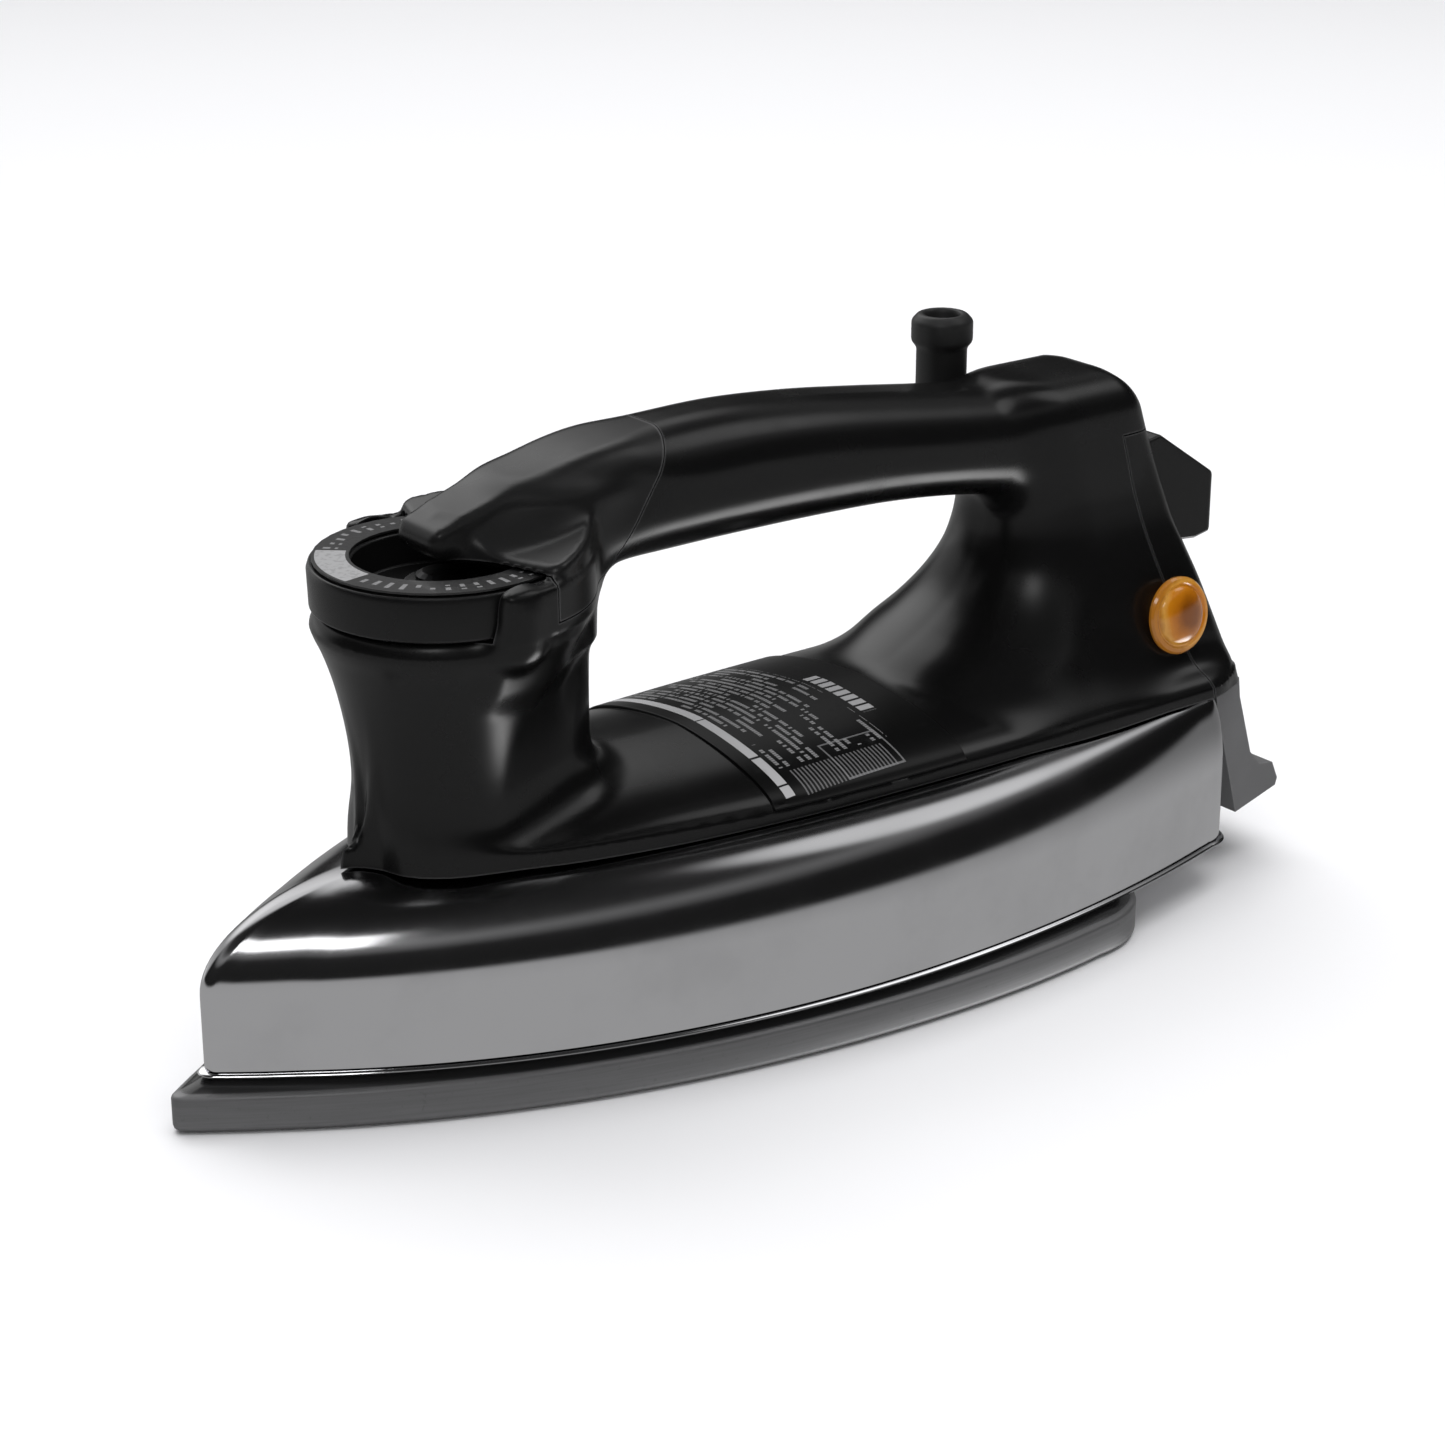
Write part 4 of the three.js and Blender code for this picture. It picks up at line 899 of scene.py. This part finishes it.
class Finish:
    def __init__(self, name, **values):
        self.material = bpy.data.materials.new(name)
        self.material.use_nodes = True
        self.tree = self.material.node_tree
        self.shader = self.tree.nodes["Principled BSDF"]
        for label, value in values.items():
            self.shader.inputs[label.replace("_", " ")].default_value = value

    def add(self, kind, settings=None, sockets=None, out=0):
        node = self.tree.nodes.new(kind)
        for setting, value in (settings or {}).items():
            if setting == "stops":
                ramp = node.color_ramp
                while len(ramp.elements) < len(value):
                    ramp.elements.new(0.5)
                for element, (place, colour) in zip(ramp.elements, value):
                    element.position = place
                    element.color = colour if len(colour) == 4 else (*colour, 1)
            else:
                setattr(node, setting, value)
        for socket, value in (sockets or {}).items():
            if isinstance(value, Wire):
                self.tree.links.new(value.socket, node.inputs[socket])
            else:
                node.inputs[socket].default_value = value
        return Wire(self, node.outputs[out])

    def place(self):
        return self.add("ShaderNodeTexCoord", out=3)

    def axes(self):
        split = self.add("ShaderNodeSeparateXYZ", sockets={0: self.place()})
        return [Wire(self, split.socket.node.outputs[i]) for i in range(3)]

    def stretched(self, scale):
        return self.add("ShaderNodeMapping", sockets={"Vector": self.place(), "Scale": scale})

    def noise(self, scale, detail=4.0, roughness=0.55, vector=None):
        return self.add("ShaderNodeTexNoise", sockets={
            "Vector": vector or self.place(), "Scale": scale, "Detail": detail, "Roughness": roughness})

    def ramp(self, value, stops):
        return self.add("ShaderNodeValToRGB", {"stops": stops}, {0: value})

    def spread(self, value, low, high, toLow=0.0, toHigh=1.0):
        return self.add("ShaderNodeMapRange", {"interpolation_type": "SMOOTHSTEP"},
                        {0: value, 1: low, 2: high, 3: toLow, 4: toHigh})

    def mixed(self, share, first, second):
        return self.add("ShaderNodeMix", {"data_type": "RGBA"}, {0: share, 6: first, 7: second}, out=2)

    def least(self, first, second):
        return self.add("ShaderNodeMath", {"operation": "MINIMUM"}, {0: first, 1: second})

    def chance(self, across, along):
        # one number in 0 to 1 for each whole pair of places
        pair = self.add("ShaderNodeCombineXYZ", sockets={0: across, 1: along})
        return self.add("ShaderNodeTexWhiteNoise", {"noise_dimensions": "2D"}, {"Vector": pair}, out=0)

    def edges(self, width):
        # lighter where two faces meet, from the bevelled normal against the true one: a painted highlight
        # along the edges
        bevel = self.add("ShaderNodeBevel", {"samples": 4}, {"Radius": width})
        true = self.add("ShaderNodeNewGeometry", out=1)
        meet = self.add("ShaderNodeVectorMath", {"operation": "DOT_PRODUCT"}, {0: bevel, 1: true}, out=1)
        return self.spread(meet, 0.9, 0.995, 1.0, 0.0)

    def feed(self, label, value):
        self.tree.links.new(value.socket, self.shader.inputs[label])

    def bump(self, height, strength, distance):
        self.feed("Normal", self.add("ShaderNodeBump", sockets={
            "Strength": strength, "Distance": distance, "Height": height}))

    def cover(self, *pieces):
        for piece in pieces:
            piece.data.materials.clear()
            piece.data.materials.append(self.material)
        return self


def grey(value):
    return (value, value, value * 1.02, 1)


def moulding(name, shade, roughness, grain=0.00002):
    # glossy black moulding: faint flow, finger smudges, dust and a little edge wear, with a painted
    # highlight along every edge
    finish = Finish(name, IOR=1.5, Specular_IOR_Level=0.42)
    smudge = finish.spread(finish.noise(28, 5), 0.42, 0.72)
    dust = finish.spread(finish.noise(2600, 1), 0.74, 0.8)
    # edges are painted lighter: a little wear, and mostly a painted highlight for the light lines that edges
    # catch
    wearAndEdgeHighlight = finish.edges(0.0006)
    tone = finish.mixed(dust * 0.1 + wearAndEdgeHighlight * 0.6, grey(shade), grey(shade * 6 + 0.06))
    finish.feed("Base Color", tone)
    finish.feed("Roughness", roughness + smudge * 0.1 + wearAndEdgeHighlight * 0.08)
    finish.bump(finish.noise(700, 2) + 0.6 * finish.noise(60, 2), 0.06, grain)
    return finish


def chromePlate(name, shade):
    # bright on the upright wall, painted darker over the shoulder as a painted reflection of the dark above,
    # with wiping marks
    finish = Finish(name, Metallic=1.0)
    z = finish.axes()[2]
    rise = finish.spread(z, (coverHigh.z - cover["shoulder"] + 1) * mm, (coverHigh.z - 5) * mm)
    smudge = finish.spread(finish.noise(34, 5), 0.45, 0.75)
    lines = finish.noise(1, 3, vector=finish.stretched((40, 900, 900)))
    # the shoulder is painted darker: a painted reflection of the dark above it
    tone = finish.mixed(rise, grey(shade), grey(shade * 0.42))
    finish.feed("Base Color", finish.mixed(smudge * 0.2, tone, grey(shade * 0.5)))
    finish.feed("Roughness", 0.07 + smudge * 0.06 + lines * 0.04 + rise * 0.06)
    finish.bump(finish.noise(22, 2), 0.05, 0.0004)
    return finish


def castSole(name):
    # satin sides, the sloping ledge painted glossy near-black as a painted dark reflection, and darker and
    # duller along the bottom edge
    finish = Finish(name)
    z = finish.axes()[2]
    # the ledge band is painted near-black to stand in for the dark reflection that the polished ledge shows
    ledge = finish.spread(z, (sole["side"] + 0.15) * mm, (sole["side"] + 0.5) * mm)
    brushed = finish.noise(1, 4, vector=finish.stretched((60, 60, 2400)))
    speck = finish.spread(finish.noise(900, 3), 0.62, 0.74)
    sides = finish.mixed(brushed, grey(0.2), grey(0.3))
    sides = finish.mixed(speck * 0.25, sides, grey(0.12))
    # the lowest 1.6 mm is darker and duller
    foot = finish.spread(z, 0.4 * mm, 1.6 * mm, 1.0, 0.0)
    sides = finish.mixed(foot * 0.8, sides, grey(0.03))
    finish.feed("Base Color", finish.mixed(ledge, sides, grey(0.035)))
    finish.feed("Metallic", 0.75 - ledge * 0.35 - foot * 0.6)
    finish.feed("Roughness", 0.42 + brushed * 0.12 - ledge * 0.3 + foot * 0.3)
    finish.bump(brushed + 0.4 * speck, 0.12, 0.00008)
    return finish


def greyMoulding(name, shade):
    finish = Finish(name, IOR=1.48)
    grain = finish.noise(1800, 3)
    smear = finish.spread(finish.noise(40, 4), 0.4, 0.7)
    # edges are painted lighter: wear together with a painted highlight along the edges
    wearAndEdgeHighlight = finish.edges(0.0008)
    finish.feed("Base Color", finish.mixed(smear * 0.3 + wearAndEdgeHighlight * 0.4, grey(shade), grey(shade * 1.5)))
    finish.feed("Roughness", 0.42 + grain * 0.16)
    finish.bump(grain, 0.12, 0.00006)
    return finish


def softRubber(name):
    finish = Finish(name, IOR=1.5)
    grain = finish.noise(2200, 2)
    bloom = finish.spread(finish.noise(90, 4), 0.45, 0.75)
    finish.feed("Base Color", finish.mixed(bloom * 0.35, grey(0.014), grey(0.04)))
    finish.feed("Roughness", 0.36 + grain * 0.2)
    finish.bump(grain, 0.15, 0.00005)
    return finish


def amberLens(name):
    # deep in the middle and lighter towards the rim, partly the glass's own depth and partly painted shade
    # and highlight with the middle set off-centre, and cloudy mouldings inside
    finish = Finish(name, IOR=1.49, Coat_Weight=1.0, Coat_Roughness=0.03, Transmission_Weight=0.12)
    x, _, z = finish.axes()
    # the middle is set off-centre so that the shade and the lighter rim fall as painted shade and painted
    # highlight
    across = x - (lensX + noseX + 1.2) * mm
    upright = z - (lensZ + 0.6) * mm
    out = (across * across + upright * upright).root()
    cloud = finish.noise(420, 4)
    glow = finish.spread(out + (cloud - 0.5) * 0.0016, 0.0015, lensRadius * mm)
    tone = finish.ramp(glow, [(0.0, (0.2, 0.055, 0.001)), (0.35, (0.42, 0.13, 0.003)),
                              (0.7, (0.55, 0.19, 0.006)), (0.9, (0.66, 0.32, 0.05)),
                              (1.0, (0.42, 0.16, 0.015))])
    finish.feed("Base Color", tone)
    finish.feed("Roughness", 0.12 + cloud * 0.12)
    finish.bump(cloud, 0.1, 0.0002)
    # the emission makes the lens glow in its own colour: a painted glow, since the lamp behind it gives no
    # light
    finish.shader.inputs["Emission Strength"].default_value = 0.12
    finish.feed("Emission Color", tone)
    return finish


def metal(name, bright, dark, roughness, scratch=600.0):
    finish = Finish(name, Metallic=1.0)
    lines = finish.noise(1, 3, vector=finish.stretched((scratch, scratch, 90)))
    stain = finish.spread(finish.noise(160, 4), 0.4, 0.7)
    finish.feed("Base Color", finish.mixed(stain, (*bright, 1), (*dark, 1)))
    finish.feed("Roughness", roughness + lines * 0.18)
    finish.bump(lines, 0.1, 0.00005)
    return finish


def layered(name, bright, dark, roughness, scale, metallic=0.0):
    finish = Finish(name, Metallic=metallic)
    grain = finish.noise(scale, 6, 0.65)
    finish.feed("Base Color", finish.mixed(finish.spread(grain, 0.35, 0.65), (*dark, 1), (*bright, 1)))
    finish.feed("Roughness", roughness + grain * 0.2)
    finish.bump(grain, 0.3, 0.0002)
    return finish


def wovenSleeve(name, bright, dark):
    finish = Finish(name)
    weave = finish.add("ShaderNodeTexWave", {"bands_direction": "DIAGONAL"},
                       {"Vector": finish.place(), "Scale": 320.0, "Distortion": 1.2}, out=1)
    cross = finish.add("ShaderNodeTexWave", {"bands_direction": "Z"},
                       {"Vector": finish.place(), "Scale": 420.0, "Distortion": 0.8}, out=1)
    braid = weave * cross
    finish.feed("Base Color", finish.mixed(braid, (*dark, 1), (*bright, 1)))
    finish.feed("Roughness", 0.6 + braid * 0.2)
    finish.bump(braid, 0.4, 0.0002)
    return finish


def between(value, low, high):
    return value.over(low) * value.under(high)


printing = {"row": 1.75, "letter": 0.62, "start": 118.6, "end": 145.0, "ink": 0.3}


def printedLabel(name):
    # glossy black plate with a broken light stripe, rows of small bars, a ruled frame and a bold bar
    finish = Finish(name, Specular_IOR_Level=0.2)
    x, y, _ = finish.axes()
    x = x * 1000 - noseX
    y = y * 1000
    row = (x - printing["start"]) * (1 / printing["row"])
    letter = y * (1 / printing["letter"])
    drawn = finish.chance(row.whole(), letter.whole())
    said = finish.chance(row.whole(), (y * 0.13 + row.whole() * 0.37).whole())
    bars = row.modulo(1).under(0.48) * letter.modulo(1).under(0.8) * drawn.over(0.22) * said.over(0.3)
    bars = bars * between(x, printing["start"], printing["end"]) * between(y, -24, 26)
    stripe = between(x, 115.2, 117.4) * between(y, -30.4, 27)
    gaps = between(y, -19.6, -19.0) + between(y, -28.2, -27.8) + between(y, -2.2, -1.8)
    stripe = stripe * (1 - gaps)
    bold = between(x, 146.4, 149.8) * between(y, -15, 4) * ((y * 0.42).modulo(1).under(0.72))
    fine = between(x, 119.5, 142.6) * between(y, -31, -25.2) * ((x * 1.1).modulo(1).under(0.4))
    inFrame = between(x, 130.4, 143.6) * between(y, -30.6, -21.4)
    frameLine = between(x, 130, 144) * between(y, -31, -21) * (1 - inFrame)
    dim = finish.least(bars + fine * 0.55, 1.0)
    ink = finish.mixed(dim * 0.8, grey(0.004), grey(printing["ink"]))
    ink = finish.mixed(frameLine * 0.6, ink, grey(0.24))
    ink = finish.mixed(bold * 0.85, ink, grey(0.5))
    ink = finish.mixed(stripe * 0.92, ink, grey(0.5))
    rub = finish.spread(finish.noise(240, 5), 0.6, 0.8)
    finish.feed("Base Color", finish.mixed(rub * 0.2, ink, grey(0.02)))
    finish.feed("Roughness", 0.3 + rub * 0.2)
    finish.bump(finish.noise(300, 3), 0.05, 0.00004)
    return finish


def dialScale(name):
    # dark ring with short light marks and one plain light sector at the front
    finish = Finish(name, Coat_Weight=0.3)
    x, y, _ = finish.axes()
    ahead = x * 1000 - (noseX + dialX)
    across = y * 1000
    turn = across.maths("ARCTAN2", across, ahead) * (180 / math.pi)
    out = (ahead * ahead + across * across).root()
    tick = (turn * (1 / 7.5)).modulo(1).under(0.34) * between(out, 18.6, 21.4)
    broken = finish.chance((turn * (1 / 7.5)).whole(), (out * 1.2).whole()).over(0.35)
    around = (turn + 360).modulo(360)
    sector = between(around, 140, 190) * between(out, 16.9, 22.4)
    speckle = finish.spread(finish.noise(900, 3), 0.5, 0.62)
    tone = finish.mixed(tick * broken * (1 - sector) * 0.5, grey(0.016), grey(0.4))
    tone = finish.mixed(sector, tone, finish.mixed(speckle * 0.5, grey(0.36), grey(0.2)))
    finish.feed("Base Color", tone)
    finish.feed("Roughness", 0.3 + speckle * 0.1)
    finish.bump(speckle, 0.05, 0.00004)
    return finish


print("laying on the finishes")
crisp(nodes["dial_scale"], 40)
moulding("blackHandle", 0.0045, 0.22).cover(handlePiece, rearPiece, restBlock)
# the cap's black is set twice as light as the handle's: a painted sheen standing in for the light its top
# catches
moulding("blackCapPaintedSheen", 0.009, 0.26).cover(capPiece)
moulding("blackDial", 0.005, 0.24).cover(dialPiece)
dialScale("dialMarks").cover(nodes["dial_scale"])
chromePlate("chromeShell", 0.86).cover(coverPiece)
chromePlate("chromeRim", 0.8).cover(rimPiece)
castSole("castSole").cover(solePiece)
printedLabel("labelPrint").cover(labelPiece)
greyMoulding("greyFoot", 0.13).cover(nodes["heel_foot"], nodes["lamp_holder"], nodes["cord_clamp"])
softRubber("guardRubber").cover(guardPiece)
amberLens("amberLens").cover(lensPiece)
steelNames = [n for n in nodes if n.endswith(("_stud", "_spacer", "_nut", "_rivet", "_spindle"))
              or "_screw" in n and not n.startswith(("adjusting", "terminal"))]
metal("plainSteel", (0.55, 0.55, 0.57), (0.3, 0.3, 0.31), 0.28).cover(
    *[nodes[n] for n in steelNames if n != "dial_screw"], nodes["thermostat_base"])
metal("blackenedSteel", (0.05, 0.05, 0.052), (0.025, 0.024, 0.023), 0.4).cover(nodes["dial_screw"])
brassNames = [n for n in nodes if n.startswith(("element_tab", "adjusting_screw", "terminal_screw"))]
metal("drawnBrass", (0.68, 0.5, 0.22), (0.4, 0.27, 0.1), 0.3).cover(
    *[nodes[n] for n in brassNames + ["bimetal_strip", "fixed_contact", "moving_contact"]])
layered("roughIron", (0.12, 0.12, 0.125), (0.05, 0.045, 0.042), 0.62, 420, 0.6).cover(
    nodes["pressure_weight"])
layered("micaCard", (0.55, 0.5, 0.4), (0.34, 0.28, 0.19), 0.45, 150).cover(
    nodes["heating_element"], nodes["insulation_sheet"])
layered("firedWhite", (0.78, 0.76, 0.7), (0.6, 0.57, 0.5), 0.35, 500).cover(
    nodes["terminal_block"], nodes["lower_bead"], nodes["upper_bead"])
layered("lampGlass", (0.85, 0.62, 0.45), (0.5, 0.25, 0.12), 0.08, 300).cover(nodes["neon_lamp"])
wovenSleeve("blueSleeve", (0.06, 0.15, 0.45), (0.02, 0.05, 0.2)).cover(nodes["lead_neutral"])
wovenSleeve("brownSleeve", (0.26, 0.11, 0.04), (0.1, 0.04, 0.015)).cover(nodes["lead_live"])
wovenSleeve("greenSleeve", (0.1, 0.36, 0.08), (0.5, 0.42, 0.03)).cover(nodes["lead_earth"])


# floor, light and camera
studio = {
    "floorShade": 0.9,
    "lamps": {  # place, aim, size across and up, power, seen in gloss
        "flood": ((0.15, 0.25, 1.9), (0.0, 0.0, 0.0), (2.2, 2.2), 43.0, False),
        "front": ((-0.9, -1.5, 0.9), (0.0, 0.0, 0.05), (1.4, 0.9), 7.0, False),
        "key": ((-0.75, -0.75, 1.15), (0.0, 0.0, 0.05), (0.36, 0.36), 1.4, True),
    },
    # soft patches met only in gloss: direction, cosines where each starts and is full, brightness
    "patches": [((0.56, -0.33, -0.76), 0.93, 0.985, 5.0), ((0.15, 0.72, 0.68), 0.86, 0.97, 1.3),
                ((0.56, -0.2, 0.8), 0.955, 0.99, 1.3), ((-0.2, 0.92, 0.33), 0.85, 0.97, 0.5)],
    # brightness that gloss meets in each direction, from straight down to straight up
    "around": [(-1.0, 0.335), (-0.03, 0.335), (0.06, 0.012), (0.5, 0.02), (0.66, 0.3), (0.78, 0.05),
               (1.0, 0.02)],
    "background": 0.95,
}
shot = {"place": (-0.3611, -0.4711, 0.2784), "aim": (-0.0055, -0.0034, 0.0518), "focal": 81.1, "sensor": 36}


def makeFloor():
    mesh = bpy.data.meshes.new("studioFloor")
    mesh.from_pydata([(-6, -6, 0), (6, -6, 0), (6, 6, 0), (-6, 6, 0)], [], [(0, 1, 2, 3)])
    floor = bpy.data.objects.new("studioFloor", mesh)
    bpy.context.scene.collection.objects.link(floor)
    floor.visible_glossy = False
    paper = Finish("palePaper", Specular_IOR_Level=0.0)
    mottle, shade = paper.noise(6, 3), studio["floorShade"]
    paper.feed("Base Color", paper.mixed(mottle, grey(shade), grey(shade * 0.99)))
    paper.feed("Roughness", 0.8 + mottle * 0.1)
    paper.cover(floor)


def aimed(item, place, aim):
    item.location = place
    item.rotation_euler = (Vector(aim) - Vector(place)).to_track_quat("-Z", "Y").to_euler()
    bpy.context.scene.collection.objects.link(item)
    return item


def makeLights():
    for name, (place, aim, size, power, glossy) in studio["lamps"].items():
        lamp = bpy.data.lights.new(name, "AREA")
        lamp.shape = "RECTANGLE"
        lamp.size, lamp.size_y = size
        lamp.energy = power
        aimed(bpy.data.objects.new(name, lamp), place, aim).visible_glossy = glossy
    bpy.context.scene.view_settings.view_transform = "Standard"


class Backdrop(Finish):
    # the world's own nodes, written like a finish
    def __init__(self, world):
        self.tree = world.node_tree


def makeWorld():
    world = bpy.data.worlds.new("studio")
    bpy.context.scene.world = world
    world.use_nodes = True
    sky = Backdrop(world)
    where = sky.add("ShaderNodeTexCoord")
    height = sky.add("ShaderNodeSeparateXYZ", sockets={0: where}, out=2)
    stops = [((z + 1) / 2, (bright, bright, bright)) for z, bright in studio["around"]]
    glow = sky.ramp(height * 0.5 + 0.5, stops)
    for direction, start, full, bright in studio["patches"]:
        toward = {0: where, 1: Vector(direction).normalized()}
        along = sky.add("ShaderNodeVectorMath", {"operation": "DOT_PRODUCT"}, toward, out=1)
        patch = sky.spread(along, start, full, 0.0, bright)
        glow = sky.add("ShaderNodeVectorMath", {"operation": "ADD"}, {0: glow, 1: patch})
    plain = (studio["background"],) * 3 + (1,)
    seen = sky.add("ShaderNodeLightPath")
    shown = sky.mixed(seen, glow, plain)
    sky.tree.links.new(shown.socket, sky.tree.nodes["Background"].inputs[0])


def makeCamera():
    camera = bpy.data.cameras.new("camera")
    camera.lens = shot["focal"]
    camera.sensor_width = shot["sensor"]
    stand = aimed(bpy.data.objects.new("camera", camera), shot["place"], shot["aim"])
    bpy.context.scene.camera = stand


print("setting the studio")
makeFloor()
makeLights()
makeWorld()
makeCamera()
bpy.context.view_layer.update()
